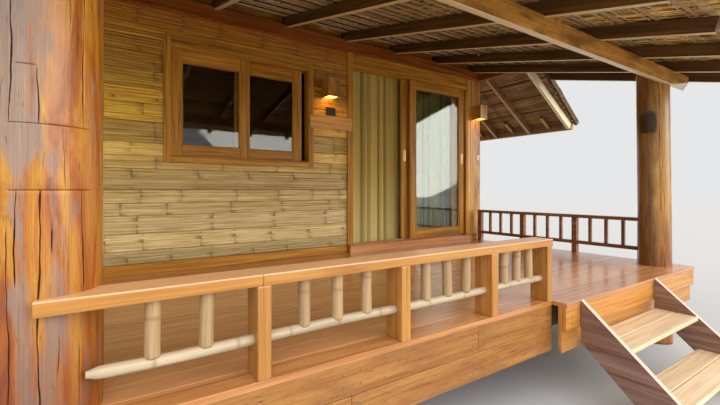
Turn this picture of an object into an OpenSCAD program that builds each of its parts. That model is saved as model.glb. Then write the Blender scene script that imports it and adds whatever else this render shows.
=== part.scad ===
/* [Deck and floor] */
// Height of the deck above the ground
deck_height = 780; // [690:10:900]
// Thickness of the deck and floor boards
board_t = 30; // [22:1:40]
// Depth of the veranda, from the deck edge to the face of the front wall
veranda_depth = 2662; // [2500:1:2900]
// How far the deck's sides lie inside the room's corners
deck_inset = 74; // [40:1:110]
// How far the entrance part of the deck stands out past the railing
entry_out = 104; // [60:1:160]
// Height of one fascia board under the deck edge
fascia_h = 160; // [120:5:200]
// Thickness of the fascia boards
fascia_t = 30; // [20:1:40]
// Width of a floor joist
joist_w = 60; // [40:5:80]
// Height of a floor joist
joist_h = 120; // [90:5:150]
// Widest spacing of the floor joists
joist_gap = 620; // [450:10:700]
// Width of a floor bearer
bearer_w = 110; // [80:5:140]
// Height of a floor bearer
bearer_h = 150; // [120:5:180]
// Diameter of a stilt under the bearers
stilt_d = 190; // [150:5:240]

/* [Veranda posts] */
// Distance from a veranda post's centre to the side of the deck
post_inset = 238; // [225:1:280]
// Radius of the big log on the left, at its top
log_r = 193; // [150:1:210]
// How much wider the log's foot is than its top
log_flare = 12; // [0:1:25]
// Radius of the round post on the right
round_post_r = 146; // [110:1:160]

/* [Walls] */
// Half the width of the room, over the bamboo
room_half = 2834; // [2800:1:2900]
// Depth of the room, over the bamboo
room_depth = 4600; // [4200:10:5200]
// Thickness of a wall behind its bamboo strips
wall_t = 92; // [70:1:110]
// Thickness of the bamboo strips on the walls
strip_t = 8; // [4:1:14]
// Side of a square corner post
corner_post = 150; // [130:5:170]
// Height of the sill beams above the deck
sill_h = 94; // [70:1:120]
// Height of the underside of the wall plates above the deck
plate_z = 2500; // [2480:5:2540]
// Height of the front and back wall plates
plate_h = 140; // [120:5:160]

/* [Window] */
// Part of the bare wall between corner post and door that lies left of the window
window_place = 0.657; // [0.55:0.01:0.75]
// Width of the window frame
window_w = 1607; // [1500:1:1640]
// Height of the window frame's foot above the deck
window_z = 1047; // [950:1:1100]
// Height of the window frame
window_h = 1220; // [1100:5:1300]
// Width of the window frame's jambs
window_jamb = 65; // [50:1:80]
// Height of the window frame's head
window_head = 100; // [80:1:120]
// Width of a sash's stiles and lower rail
sash_stile = 105; // [80:1:120]
// Height of a sash's upper rail
sash_top = 125; // [100:1:140]
// Thickness of a sash
sash_t = 34; // [28:1:40]
// Gap that the right sash leaves beside its jamb
sash_gap = 50; // [0:1:80]

/* [Sliding door] */
// Width of the wall between the door frame and the right corner post
door_side = 160; // [140:1:200]
// Width of the door frame
door_w = 2212; // [2150:1:2240]
// Width of the door frame's left jamb
door_left_jamb = 81; // [60:1:100]
// Width of the door frame's right jamb
door_right_jamb = 46; // [40:1:70]
// Height of the door opening's head above the deck
door_head_z = 2330; // [2250:1:2400]
// How far the two door leaves overlap when they are shut
leaf_overlap = 143; // [120:1:200]
// Thickness of a door leaf
leaf_t = 40; // [30:1:44]
// Width of a leaf's stiles and rails
leaf_stile = 111; // [90:1:130]
// How far the left leaf stands open
left_leaf_open = 852; // [700:1:860]
// Thickness of the glass
glass_t = 6; // [4:1:10]

/* [Curtain] */
// Width that the drawn curtain covers
curtain_w = 1900; // [1600:10:1980]
// Number of folds in the curtain
curtain_folds = 17; // [10:1:24]
// Depth of a curtain fold
fold_depth = 54; // [30:1:60]

/* [Veranda roof] */
// Slope of the veranda roof, in degrees
veranda_pitch = 13.4; // [11:0.1:15]
// Height of the rafters' underside at the front wall, above the deck
rafter_wall_z = 2620; // [2600:5:2638]
// Run of the rafters from the wall to their front ends
rafter_run = 3369; // [3200:1:3500]
// Width of a veranda rafter
rafter_w = 52; // [40:1:60]
// Height of a veranda rafter
rafter_h = 104; // [80:1:120]
// Spacing of the veranda rafters
rafter_gap = 780; // [700:5:820]
// How far the outermost rafters stand out past the veranda posts
barge_out = 768; // [720:1:820]
// Thickness of the front beam
beam_t = 55; // [45:1:65]
// Height of the front beam
beam_h = 150; // [120:5:170]
// How far the front beam runs on past the veranda posts
beam_out = 478; // [400:1:520]
// Diameter of the bamboo battens
batten_d = 28; // [22:1:34]
// Thickness of the veranda's thatch
veranda_thatch_t = 42; // [30:1:60]

/* [Main roof] */
// Slope of the main roof, in degrees
roof_pitch = 33.5; // [32.6:0.1:34]
// How far the eaves of the main roof stand out past the side walls
eave_out = 1206; // [1100:1:1280]
// Height of the side wall plates
side_plate_h = 95; // [80:1:120]
// Depth of the notch where a main rafter sits on a side plate
birdsmouth = 12; // [8:1:20]
// How far the outermost main rafters stand in front of the front wall
main_barge_out = 770; // [700:5:840]
// How much further the ridge leans out than the eave
prow = 300; // [0:10:400]
// Thickness of the main roof's thatch
thatch_t = 85; // [60:1:110]
// Width of the ridge beam
ridge_w = 80; // [60:2:100]
// Height of the ridge beam
ridge_h = 180; // [150:5:220]
// Length of the ridge cap down each slope
cap_wing = 430; // [350:5:520]
// Thickness of the ridge cap
cap_t = 45; // [30:1:60]

/* [Front railing] */
// Height of the handrail's top above the deck
handrail_z = 435; // [400:1:480]
// Thickness of the handrail
handrail_t = 50; // [38:1:60]
// Depth of the handrail
handrail_w = 160; // [150:1:180]
// Thickness of handrail left in front of the log
handrail_lap = 32; // [22:1:40]
// Width of a railing post
rail_post_w = 60; // [50:1:70]
// Depth of a railing post
rail_post_d = 135; // [120:1:148]
// Diameter of the bamboo rails and balusters
bamboo_d = 46; // [38:1:52]
// Height of the bamboo rails' middle above the deck
bamboo_rail_z = 156; // [130:1:180]
// Distance from the log's centre to the first railing post
first_bay = 743; // [700:1:780]
// Width of the second bay of the railing
second_bay = 761; // [720:1:790]
// Width of the third bay of the railing
third_bay = 718; // [690:1:750]
// Width of the last bay of the railing
last_bay = 605; // [570:1:640]

/* [Side railing] */
// Height of the side railing's top above the deck
side_rail_z = 472; // [440:1:520]
// Side of a side railing post
side_post_w = 60; // [50:1:66]
// Distance from the deck's front edge to the side railing's first post
side_rail_gap = 357; // [340:1:400]
// Side of a side railing baluster
side_bar_w = 32; // [24:1:40]

/* [Stairs] */
// Distance from the stairs to the round post's centre
stair_side = 714; // [600:1:780]
// Width over both stringers
stair_w = 1293; // [1150:1:1350]
// Thickness of a stringer
stringer_t = 40; // [30:1:50]
// Depth of a tread
tread_run = 300; // [270:5:330]
// Thickness of a tread
tread_t = 34; // [28:1:45]

/* [Lamps] */
// Width of a wall lamp
lamp_w = 155; // [130:1:170]
// Depth of a wall lamp
lamp_d = 165; // [130:1:200]
// Height of a wall lamp
lamp_h = 215; // [180:1:240]
// Height of a lamp's underside above the deck
lamp_z = 1881; // [1800:1:1950]

/* [Hidden] */

$fn = 48;
eps = 0.01;
// Clearance between curved faces that meet
seat = 0.3;

// Levels
deck_z = deck_height;
joist_top = deck_z - board_t;
bearer_top = joist_top - joist_h;
stilt_top = bearer_top - bearer_h;
plate_top = deck_z + plate_z + plate_h;

// Veranda front
fascia_set = 6;
beam_y = -veranda_depth + 12;
beam_back = beam_y + beam_t;
deck_half = room_half - deck_inset;
post_x = deck_half - post_inset;
log_y = -veranda_depth + handrail_lap + log_r;
round_post_y = beam_y + 6 + round_post_r;
entry_y = -veranda_depth - entry_out;
rail_post_x = [
    -post_x + first_bay,
    -post_x + first_bay + second_bay,
    -post_x + first_bay + second_bay + third_bay,
    -post_x + first_bay + second_bay + third_bay + last_bay
];
last_post_x = rail_post_x[3];
entry_x = last_post_x + rail_post_w / 2;

// Room
wall_in = strip_t + wall_t;
side_plate_w = 75;
post_face = room_half - corner_post;
door_x = post_face - door_side - door_w;
window_x = round(-post_face + window_place * (door_x + post_face - window_w));
window_right = window_x + window_w;
frame_front = -20;
frame_back = 130;

// Veranda roof
veranda_tan = tan(veranda_pitch);
edge_rafter_x = post_x + 93;
barge_x = post_x + barge_out;
beam_half = post_x + beam_out;
bay_rafters = floor(2 * edge_rafter_x / rafter_gap);
veranda_rafter_x = concat(
    [-barge_x, -edge_rafter_x],
    [for (i = [bay_rafters : -1 : 0]) edge_rafter_x - i * rafter_gap],
    [barge_x]);
rafter_length = rafter_run / cos(veranda_pitch);
beam_top = deck_z + rafter_wall_z + beam_back * veranda_tan;
veranda_overhang = 120;

// Main roof
roof_tan = tan(roof_pitch);
eave_half = room_half + eave_out;
side_plate_top = deck_z + plate_z + side_plate_h;
ridge_z = side_plate_top - birdsmouth + (room_half - side_plate_w / 2) * roof_tan;
slope_length = eave_half / cos(roof_pitch);
main_rafter_w = 50;
main_rafter_h = 104;
end_rafter_out = 80;
main_bays = 7;
main_rafter_y = concat(
    [-main_barge_out],
    [for (i = [0 : main_bays]) -end_rafter_out + i * (room_depth + 2 * end_rafter_out) / main_bays],
    [room_depth + main_barge_out]);
rake_eave_y = -main_barge_out - main_rafter_w / 2 - 55;
rake_ridge_y = rake_eave_y - prow;
cap_out = cap_t;
thatch_length = slope_length + 75;

// Railing
rail_y = -veranda_depth + 62;
side_rail_x = deck_half - side_post_w / 2 - 6;
side_rail_end = -100;
side_bays = 3;
side_bay = (veranda_depth + side_rail_end - side_rail_gap) / side_bays;

// Door
door_in_left = door_x + door_left_jamb;
door_in_right = door_x + door_w - door_right_jamb;
door_foot = deck_z + sill_h;
door_top = deck_z + door_head_z;
front_track_y = 14;
track_gap = 10;
back_track_y = front_track_y + leaf_t + track_gap;
track_h = 8;
leaf_clear = 5;
leaf_w = (door_in_right - door_in_left - 2 * leaf_clear + leaf_overlap) / 2;
leaf_foot = door_foot + track_h + leaf_clear;
leaf_top = door_top - leaf_clear;
roller_r = 16;
roller_w = 14;
left_leaf_x = door_in_left + leaf_clear + left_leaf_open;
right_leaf_x = door_in_right - leaf_clear - leaf_w;

// Box between two corners
module block(low, high) {
    translate(low)
        cube([for (i = [0 : 2]) high[i] - low[i]]);
}

// Bamboo pole along +Z with a raised ring at each node
module bamboo(length, d, node_gap = 190) {
    nodes = max(1, round(length / node_gap));
    step = length / nodes;
    ring = 2;
    rise = 1.6;
    rotate_extrude()
        polygon(concat(
            [[0, 0]],
            [for (i = [0 : nodes - 1]) each [
                [d / 2 - rise, i * step],
                [d / 2 - rise, (i + 0.5) * step - 3 * ring],
                [d / 2, (i + 0.5) * step - ring],
                [d / 2, (i + 0.5) * step + ring],
                [d / 2 - rise, (i + 0.5) * step + 3 * ring]
            ]],
            [[d / 2 - rise, length], [0, length]]));
}

// Places its children on the right or left slope, with X down the slope
module on_slope(side) {
    mirror([side < 0 ? 1 : 0, 0, 0])
        translate([0, 0, ridge_z])
            rotate([0, roof_pitch, 0])
                children();
}

// The same slope cut off plumb at a distance from the ridge's middle
module half_roof(side, from_ridge) {
    difference() {
        on_slope(side)
            children();
        mirror([side < 0 ? 1 : 0, 0, 0])
            block([-2000, -4000, 0], [from_ridge, room_depth + 4000, 2 * ridge_z]);
    }
}

function rake_y(s) = rake_ridge_y + prow * s / slope_length;

// Everything behind the main roof's rake and above its underside
module above_main_roof() {
    for (side = [-1, 1])
        on_slope(side)
            translate([0, 0, -2])
                linear_extrude(1500)
                    polygon([
                        [0, rake_y(0) - 6],
                        [thatch_length + 6, rake_y(thatch_length) - 6],
                        [thatch_length + 6, room_depth],
                        [0, room_depth]]);
}

// Places its children on the veranda roof, with Y up the slope
module on_veranda() {
    translate([0, 0, deck_z + rafter_wall_z])
        rotate([veranda_pitch, 0, 0])
            children();
}

module log_shape(extra = 0) {
    top = beam_top;
    translate([-post_x, log_y, 0])
        rotate_extrude($fn = 96)
            polygon(concat(
                [[0, 0]],
                [for (i = [0 : 6]) [
                    log_r + extra + log_flare * pow(1 - i / 6, 2),
                    i / 6 * 900]],
                [[log_r + extra, top], [0, top]]));
}

module stilts() {
    color("#7A4A24")
        for (y = bearer_y, x = stilt_x)
            translate([x, y, 0])
                cylinder(h = stilt_top, d = stilt_d);
}

stilt_x = [for (i = [0 : 3]) (i - 1.5) * 2 * (room_half - 180) / 3];
bearer_y = [-1380, 90, room_depth / 3, room_depth * 2 / 3, room_depth - 90];
front_bearer_y = log_y + 40;

module floor_bearers() {
    color("#6B3F1E") {
        for (y = bearer_y)
            block([-room_half + 40, y - bearer_w / 2, stilt_top],
                  [room_half - 40, y + bearer_w / 2, bearer_top]);
        difference() {
            block([-post_x, front_bearer_y - bearer_w / 2, stilt_top],
                  [post_x, front_bearer_y + bearer_w / 2, bearer_top]);
            log_shape();
            round_post_shape();
        }
    }
}

joist_half = deck_half - fascia_set - fascia_t - joist_w / 2;
joist_count = ceil(2 * joist_half / joist_gap);

module floor_joists() {
    color("#7A4A24")
        difference() {
            for (i = [0 : joist_count]) {
                x = -joist_half + i * 2 * joist_half / joist_count;
                front = x > entry_x + joist_w ? entry_y + fascia_t : -veranda_depth;
                block([x - joist_w / 2, front + fascia_set + fascia_t, bearer_top],
                      [x + joist_w / 2, room_depth - 20, joist_top]);
            }
            log_shape(4);
            round_post_shape(4);
        }
}

// Corner of the deck that the log takes the place of
module corner_at_log() {
    block([-deck_half - 1, -veranda_depth - 1, 0], [-post_x + 0.9 * log_r, log_y, deck_z + 1]);
}

module deck() {
    color("#C26A30")
        difference() {
            union() {
                block([-deck_half, -veranda_depth, joist_top], [deck_half, 0, deck_z]);
                block([entry_x, entry_y, joist_top], [deck_half, -veranda_depth + 1, deck_z]);
            }
            log_shape(seat);
            round_post_shape(seat);
            corner_at_log();
        }
}

module room_floor() {
    color("#9C5A2C")
        block([-room_half, 0, joist_top], [room_half, room_depth, deck_z]);
}

module front_fascia() {
    color("#E0953F")
        difference() {
            block([-deck_half, -veranda_depth + fascia_set, joist_top - 2 * fascia_h],
                  [entry_x - 1, -veranda_depth + fascia_set + fascia_t, joist_top]);
            corner_at_log();
            log_shape(seat);
        }
}

module entry_fascia() {
    face = entry_y + fascia_set;
    color("#E0953F") {
        block([entry_x, face, joist_top - fascia_h], [deck_half, face + fascia_t, joist_top]);
        block([entry_x, face + fascia_t - eps, joist_top - 2 * fascia_h],
              [deck_half, face + 2 * fascia_t, joist_top]);
    }
}

module side_fascias() {
    color("#C97F36")
        for (side = [-1, 1]) {
            front = side < 0 ? log_y : entry_y + fascia_set + 2 * fascia_t;
            mirror([side < 0 ? 1 : 0, 0, 0])
                block([deck_half - fascia_set - fascia_t, front, bearer_top],
                      [deck_half - fascia_set, -1, joist_top]);
        }
}

riser = deck_height / 3;
stair_right = post_x - stair_side;
stair_x = stair_right - stair_w;
stair_foot_h = 130;

module stair_stringers() {
    drop = riser / tread_run;
    depth = 300;
    color("#9A6A4A")
        for (x = [stair_x, stair_right - stringer_t])
            translate([x, entry_y, deck_z])
                rotate([90, 0, 90])
                    linear_extrude(stringer_t)
                        polygon([
                            [0, 0],
                            [-(deck_z - stair_foot_h) / drop, -deck_z + stair_foot_h],
                            [-(deck_z - stair_foot_h) / drop, -deck_z],
                            [-(deck_z - depth) / drop, -deck_z],
                            [0, -depth]]);
}

module stair_treads() {
    color("#E3AE72")
        for (i = [1, 2])
            block([stair_x + stringer_t, entry_y - i * tread_run - 12, deck_z - i * riser - tread_t],
                  [stair_right - stringer_t, entry_y - (i - 1) * tread_run - 6, deck_z - i * riser]);
}

// Room left for the beam in the front of each post
module beam_notch() {
    block([-beam_half - 200, beam_y - 400, beam_top - beam_h], [beam_half + 200, beam_back, beam_top + 400]);
}

module log_post() {
    color("#B4692F")
        difference() {
            log_shape();
            beam_notch();
        }
}

module round_post_shape(extra = 0) {
    translate([post_x, round_post_y, 0])
        cylinder(h = beam_top, r = round_post_r + extra, $fn = 96);
}

module round_post() {
    color("#A8622E")
        difference() {
            round_post_shape();
            beam_notch();
        }
}

module beam_shape() {
    block([-beam_half, beam_y, beam_top - beam_h], [beam_half, beam_back, beam_top]);
}

module front_beam() {
    color("#C07B3C")
        beam_shape();
}

module corner_posts() {
    color("#C07A38")
        for (side = [-1, 1])
            mirror([side < 0 ? 1 : 0, 0, 0])
                for (y = [0, room_depth - corner_post])
                    block([room_half - corner_post, y, door_foot],
                          [room_half, y + corner_post, deck_z + plate_z]);
}

module wall_sills() {
    out = 20;
    inside = strip_t + wall_t + 10;
    gap = 1;
    color("#7A4020") {
        block([-room_half - out, -out, deck_z], [door_x - gap, inside, door_foot]);
        block([door_x + door_w + gap, -out, deck_z], [room_half + out, inside, door_foot]);
        block([-room_half - out, room_depth - inside, deck_z],
              [room_half + out, room_depth + out, door_foot]);
        for (side = [-1, 1])
            mirror([side < 0 ? 1 : 0, 0, 0])
                block([room_half - inside, inside + gap, deck_z],
                      [room_half + out, room_depth - inside - gap, door_foot]);
    }
}

module wall_left_of_window() {
    color("#B08A35")
        block([-post_face, strip_t, door_foot], [window_x, wall_in, deck_z + plate_z]);
}

module wall_under_window() {
    color("#B08A35")
        block([window_x, strip_t, door_foot], [window_right, wall_in, deck_z + window_z]);
}

module wall_over_window() {
    color("#B08A35")
        block([window_x, strip_t, deck_z + window_z + window_h],
              [window_right, wall_in, deck_z + plate_z]);
}

module walls_beside_door() {
    color("#B08A35") {
        block([window_right, strip_t, door_foot], [door_x, wall_in, deck_z + plate_z]);
        block([door_x + door_w, strip_t, door_foot], [post_face, wall_in, deck_z + plate_z]);
    }
}

module side_walls() {
    color("#A98433")
        for (side = [-1, 1])
            mirror([side < 0 ? 1 : 0, 0, 0])
                block([room_half - wall_in, corner_post, door_foot],
                      [room_half - strip_t, room_depth - corner_post, deck_z + plate_z]);
}

module back_wall() {
    color("#A98433")
        block([-post_face, room_depth - wall_in, door_foot],
              [post_face, room_depth - strip_t, deck_z + plate_z]);
}

gable_t = 50;
gable_half = (ridge_z - plate_top) / roof_tan;
rafter_rise = main_rafter_h / cos(roof_pitch);

module gable_walls() {
    color("#A98433")
        difference() {
            for (y = [wall_in + 10 - gable_t, room_depth - wall_in - 10])
                translate([0, y + gable_t, 0])
                    rotate([90, 0, 0])
                        linear_extrude(gable_t)
                            polygon([
                                [-gable_half, plate_top],
                                [gable_half, plate_top],
                                [gable_half - 40, plate_top + rafter_rise + 40 * roof_tan],
                                [0, ridge_z + rafter_rise],
                                [-gable_half + 40, plate_top + rafter_rise + 40 * roof_tan]]);
            ridge_shape();
            for (side = [-1, 1])
                on_slope(side)
                    translate([0, -1000, main_rafter_h])
                        cube([slope_length, room_depth + 2000, 300]);
        }
}

module side_plate_shapes(extra = 0) {
    for (side = [-1, 1])
        mirror([side < 0 ? 1 : 0, 0, 0])
            block([room_half - side_plate_w - extra, -main_barge_out - 40 - extra, deck_z + plate_z],
                  [room_half + extra, room_depth + main_barge_out + 40 + extra, side_plate_top + extra]);
}

module cross_plate_shapes() {
    half = room_half - side_plate_w - 1;
    out = 45;
    block([-half, -out, deck_z + plate_z], [half, wall_in + 10, plate_top]);
    block([-half, room_depth - wall_in - 10, deck_z + plate_z], [half, room_depth + out, plate_top]);
}

module wall_plates() {
    color("#7E3F1C") {
        side_plate_shapes();
        cross_plate_shapes();
    }
}

// Window
window_in_x = window_x + window_jamb;
window_in_w = window_w - 2 * window_jamb;
window_in_z = deck_z + window_z + window_jamb;
window_in_h = window_h - window_jamb - window_head;
sash_w = (window_in_w + sash_stile) / 2;
sash_front_y = 24;
sash_back_y = sash_front_y + sash_t + 6;
back_sash_x = window_in_x + window_in_w - sash_w - sash_gap;

module window_frame() {
    groove = 8;
    color("#8A4E1E")
        difference() {
            block([window_x, frame_front, deck_z + window_z],
                  [window_right, wall_in + 10, deck_z + window_z + window_h]);
            block([window_in_x, frame_front - 1, window_in_z],
                  [window_in_x + window_in_w, wall_in + 11, window_in_z + window_in_h]);
            for (y = [sash_front_y, sash_back_y])
                block([window_in_x - groove, y - 1, window_in_z - groove],
                      [window_in_x + window_in_w + groove, y + sash_t + 1,
                       window_in_z + window_in_h + groove]);
        }
}

module sash(x, y) {
    lip = 6;
    difference() {
        block([x - lip, y, window_in_z - lip - 2],
              [x + sash_w, y + sash_t, window_in_z + window_in_h + lip]);
        block([x + sash_stile, y - 1, window_in_z + sash_stile],
              [x + sash_w - sash_stile, y + sash_t + 1, window_in_z + window_in_h - sash_top]);
    }
}

module window_sashes() {
    color("#7C431B") {
        sash(window_in_x, sash_front_y);
        sash(back_sash_x, sash_back_y);
    }
}

module window_glass() {
    color("#C8D8D0", 0.4)
        for (p = [[window_in_x, sash_front_y], [back_sash_x, sash_back_y]])
            block([p[0] + sash_stile, p[1] + (sash_t - glass_t) / 2, window_in_z + sash_stile],
                  [p[0] + sash_w - sash_stile, p[1] + (sash_t + glass_t) / 2,
                   window_in_z + window_in_h - sash_top]);
}

// Door
module track_rails(z, up) {
    for (y = [front_track_y, back_track_y])
        block([door_in_left, y + leaf_t / 2 - 4, up > 0 ? z : z - track_h],
              [door_in_right, y + leaf_t / 2 + 4, up > 0 ? z + track_h : z]);
}

module door_frame() {
    color("#8A4E1E")
        difference() {
            block([door_x, frame_front, door_foot], [door_x + door_w, frame_back, deck_z + plate_z]);
            block([door_in_left, frame_front - 1, door_foot - 1],
                  [door_in_right, frame_back + 1, door_top]);
        }
}

module door_sill() {
    out = 60;
    color("#B5652C") {
        block([door_x, frame_front - out, deck_z], [door_x + door_w, frame_back, door_foot]);
        track_rails(door_foot, 1);
    }
}

// Roller at the foot of a leaf, standing on the track
module leaf_roller(x, y) {
    translate([x, y + leaf_t / 2 - roller_w / 2, door_foot + track_h + seat + roller_r])
        rotate([-90, 0, 0])
            cylinder(h = roller_w, r = roller_r);
}

module door_leaf(x, y) {
    difference() {
        block([x, y, leaf_foot], [x + leaf_w, y + leaf_t, leaf_top]);
        block([x + leaf_stile, y - 1, leaf_foot + leaf_stile],
              [x + leaf_w - leaf_stile, y + leaf_t + 1, leaf_top - leaf_stile]);
    }
    for (roller_x = [x + 160, x + leaf_w - 160])
        leaf_roller(roller_x, y);
}

module leaf_glass(x, y) {
    block([x + leaf_stile, y + (leaf_t - glass_t) / 2, leaf_foot + leaf_stile],
          [x + leaf_w - leaf_stile, y + (leaf_t + glass_t) / 2, leaf_top - leaf_stile]);
}

pull_w = 34;
pull_h = 150;
pull_z = 1167;

// Flush pull plate with a finger slot, on the face of a stile
module leaf_pull(x, y) {
    plate = 3;
    translate([x, y, door_foot + pull_z])
        rotate([90, 0, 0])
            linear_extrude(plate)
                difference() {
                    hull()
                        for (z = [-1, 1])
                            translate([0, z * (pull_h - pull_w) / 2])
                                circle(d = pull_w);
                    hull()
                        for (z = [-1, 1])
                            translate([0, z * (pull_h - pull_w) / 2])
                                circle(d = pull_w - 16);
                }
}

module left_door_leaf() {
    color("#84491C")
        door_leaf(left_leaf_x, back_track_y);
}

module left_door_glass() {
    color("#C8D8D0", 0.4)
        leaf_glass(left_leaf_x, back_track_y);
}

module left_door_pull() {
    color("#D8BE86")
        leaf_pull(left_leaf_x + leaf_stile / 2, back_track_y);
}

module right_door_leaf() {
    color("#8E5122")
        door_leaf(right_leaf_x, front_track_y);
}

module right_door_glass() {
    color("#C8D8D0", 0.4)
        leaf_glass(right_leaf_x, front_track_y);
}

module right_door_pull() {
    color("#D8BE86")
        leaf_pull(right_leaf_x + leaf_w - leaf_stile / 2, front_track_y);
}

// Curtain behind the doors
curtain_x = door_in_left + 10;
curtain_y = frame_back + 75;
curtain_t = 6;
rod_d = 28;
rod_z = door_top + 75;
curtain_top = rod_z - rod_d / 2 - seat;
curtain_foot = deck_z + 25;

module curtain() {
    steps = curtain_folds * 8;
    function fold_y(i) = fold_depth / 2 * sin(360 * i / 8);
    color("#9A8A4E")
        translate([curtain_x, curtain_y, curtain_foot])
            linear_extrude(curtain_top - curtain_foot)
                polygon(concat(
                    [for (i = [0 : steps]) [curtain_w * i / steps, fold_y(i) - curtain_t]],
                    [for (i = [steps : -1 : 0]) [curtain_w * i / steps, fold_y(i) + curtain_t]]));
}

module curtain_rod() {
    color("#4A3424") {
        translate([door_in_left - 30, curtain_y, rod_z])
            rotate([0, 90, 0])
                cylinder(h = door_in_right - door_in_left + 60, d = rod_d);
        for (x = [door_in_left - 10, door_in_right - 10])
            block([x, frame_back, rod_z - 12], [x + 20, curtain_y, rod_z + 12]);
    }
}

module wall_lamps() {
    rim = 12;
    recess = 10;
    gap_x = (window_right + door_x) / 2 - 42;
    corner_x = room_half - 34 - lamp_w / 2;
    color("#A5642C")
        for (p = [[gap_x, strip_t], [corner_x, 0]])
            difference() {
                block([p[0] - lamp_w / 2, -lamp_d, deck_z + lamp_z],
                      [p[0] + lamp_w / 2, p[1], deck_z + lamp_z + lamp_h]);
                block([p[0] - lamp_w / 2 + rim, -lamp_d + rim, deck_z + lamp_z - 1],
                      [p[0] + lamp_w / 2 - rim, -rim, deck_z + lamp_z + recess]);
            }
}

// Veranda roof
module veranda_rafters() {
    color("#4A2C18")
        difference() {
            on_veranda()
                for (x = veranda_rafter_x)
                    translate([x - rafter_w / 2, -rafter_length, 0])
                        cube([rafter_w, rafter_length + 60, rafter_h]);
            beam_shape();
            cross_plate_shapes();
            block([-barge_x - 200, 45, deck_z], [barge_x + 200, 400, deck_z + 4000]);
            above_main_roof();
        }
}

veranda_half = barge_x + 110;
veranda_batten_count = 15;

module veranda_battens() {
    color("#B98F4E")
        difference() {
            on_veranda()
                for (i = [0 : veranda_batten_count - 1])
                    translate([-veranda_half + 30,
                               -rafter_length + 120 + i * (rafter_length - 150) / (veranda_batten_count - 1),
                               rafter_h + batten_d / 2])
                        rotate([0, 90, 0])
                            cylinder(h = 2 * veranda_half - 60, d = batten_d, $fn = 24);
            above_main_roof();
            side_plate_shapes(seat);
        }
}

module veranda_thatch() {
    color("#8E6E42")
        difference() {
            on_veranda()
                translate([-veranda_half, -rafter_length - veranda_overhang, rafter_h + batten_d])
                    cube([2 * veranda_half, rafter_length + veranda_overhang + 10, veranda_thatch_t]);
            above_main_roof();
            side_plate_shapes(seat);
            block([-barge_x - 200, 45, deck_z], [barge_x + 200, 400, deck_z + 4000]);
        }
}

// Short tails between the rafters, that carry the eave board
eave_tail = 280;

// Main roof
module ridge_shape() {
    rise = main_rafter_h * 2 / 3;
    end = rake_ridge_y + 2 * main_rafter_w;
    block([-ridge_w / 2, end, ridge_z + rise - ridge_h],
          [ridge_w / 2, room_depth - end, ridge_z + rise]);
}

module ridge_beam() {
    color("#5A3820")
        ridge_shape();
}

module roof_rafters() {
    color("#6E4526")
        difference() {
            for (side = [-1, 1])
                half_roof(side, ridge_w / 2)
                    for (y = main_rafter_y)
                        translate([-200, y - main_rafter_w / 2, 0])
                            cube([slope_length + 200, main_rafter_w, main_rafter_h]);
            side_plate_shapes();
        }
    color("#8A5E38")
        for (side = [-1, 1])
            on_slope(side)
                for (i = [1 : len(main_rafter_y) - 1])
                    translate([slope_length - eave_tail, (main_rafter_y[i - 1] + main_rafter_y[i] - main_rafter_w) / 2,
                               main_rafter_h / 2])
                        cube([eave_tail, main_rafter_w, main_rafter_h / 2]);
}

roof_batten_gap = 330;
roof_batten_count = floor((slope_length - 200) / roof_batten_gap) + 1;

module roof_battens() {
    color("#A9813F")
        for (side = [-1, 1])
            on_slope(side)
                for (i = [0 : roof_batten_count - 1]) {
                    s = slope_length - 60 - i * roof_batten_gap;
                    translate([s, rake_y(s) + 20, main_rafter_h + batten_d / 2])
                        rotate([-90, 0, 0])
                            cylinder(h = room_depth - 2 * rake_y(s) - 40, d = batten_d, $fn = 24);
                }
}

module roof_thatch() {
    color("#86683E")
        for (side = [-1, 1])
            half_roof(side, 1)
                translate([0, 0, main_rafter_h + batten_d])
                    linear_extrude(thatch_t)
                        polygon([
                            [-300, rake_y(-300)],
                            [thatch_length, rake_y(thatch_length)],
                            [thatch_length, room_depth - rake_y(thatch_length)],
                            [-300, room_depth - rake_y(-300)]]);
}

module ridge_cap() {
    base = (main_rafter_h + batten_d + thatch_t + seat) / cos(roof_pitch);
    top = base + cap_t / cos(roof_pitch);
    reach = cap_wing * cos(roof_pitch);
    color("#7A5C36")
        translate([0, room_depth - rake_ridge_y + cap_out, ridge_z])
            rotate([90, 0, 0])
                linear_extrude(room_depth - 2 * rake_ridge_y + 2 * cap_out)
                    polygon([
                        [0, base],
                        [reach, base - reach * roof_tan],
                        [reach + cap_t * sin(roof_pitch), top - (reach + cap_t * sin(roof_pitch)) * roof_tan],
                        [0, top],
                        [-reach - cap_t * sin(roof_pitch), top - (reach + cap_t * sin(roof_pitch)) * roof_tan],
                        [-reach, base - reach * roof_tan]]);
}

module eave_boards() {
    t = 24;
    h = 110;
    color("#6E4526") {
        for (side = [-1, 1])
            on_slope(side)
                translate([slope_length, rake_y(slope_length) + 20, main_rafter_h - h])
                    cube([t, room_depth - 2 * rake_y(slope_length) - 40, h]);
        on_veranda()
            translate([-veranda_half + 30, -rafter_length, rafter_h])
                cube([2 * veranda_half - 60, 40, batten_d]);
    }
}

// Front railing
module handrail() {
    color("#E0953F")
        difference() {
            block([-post_x, -veranda_depth, deck_z + handrail_z - handrail_t],
                  [entry_x + 8, -veranda_depth + handrail_w, deck_z + handrail_z]);
            log_shape(seat);
        }
}

module rail_posts() {
    color("#D98A38")
        for (x = rail_post_x)
            block([x - rail_post_w / 2, -veranda_depth, deck_z],
                  [x + rail_post_w / 2, -veranda_depth + rail_post_d, deck_z + handrail_z - handrail_t]);
}

rail_ends = concat([-post_x + log_r], rail_post_x);

module bamboo_rail_shape(i, extra = 0) {
    left = i == 0 ? -post_x + 135 : rail_ends[i] + rail_post_w / 2;
    right = rail_ends[i + 1] - rail_post_w / 2;
    translate([left, rail_y, deck_z + bamboo_rail_z])
        rotate([0, 90, 0])
            bamboo(right - left, bamboo_d + extra);
}

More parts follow.
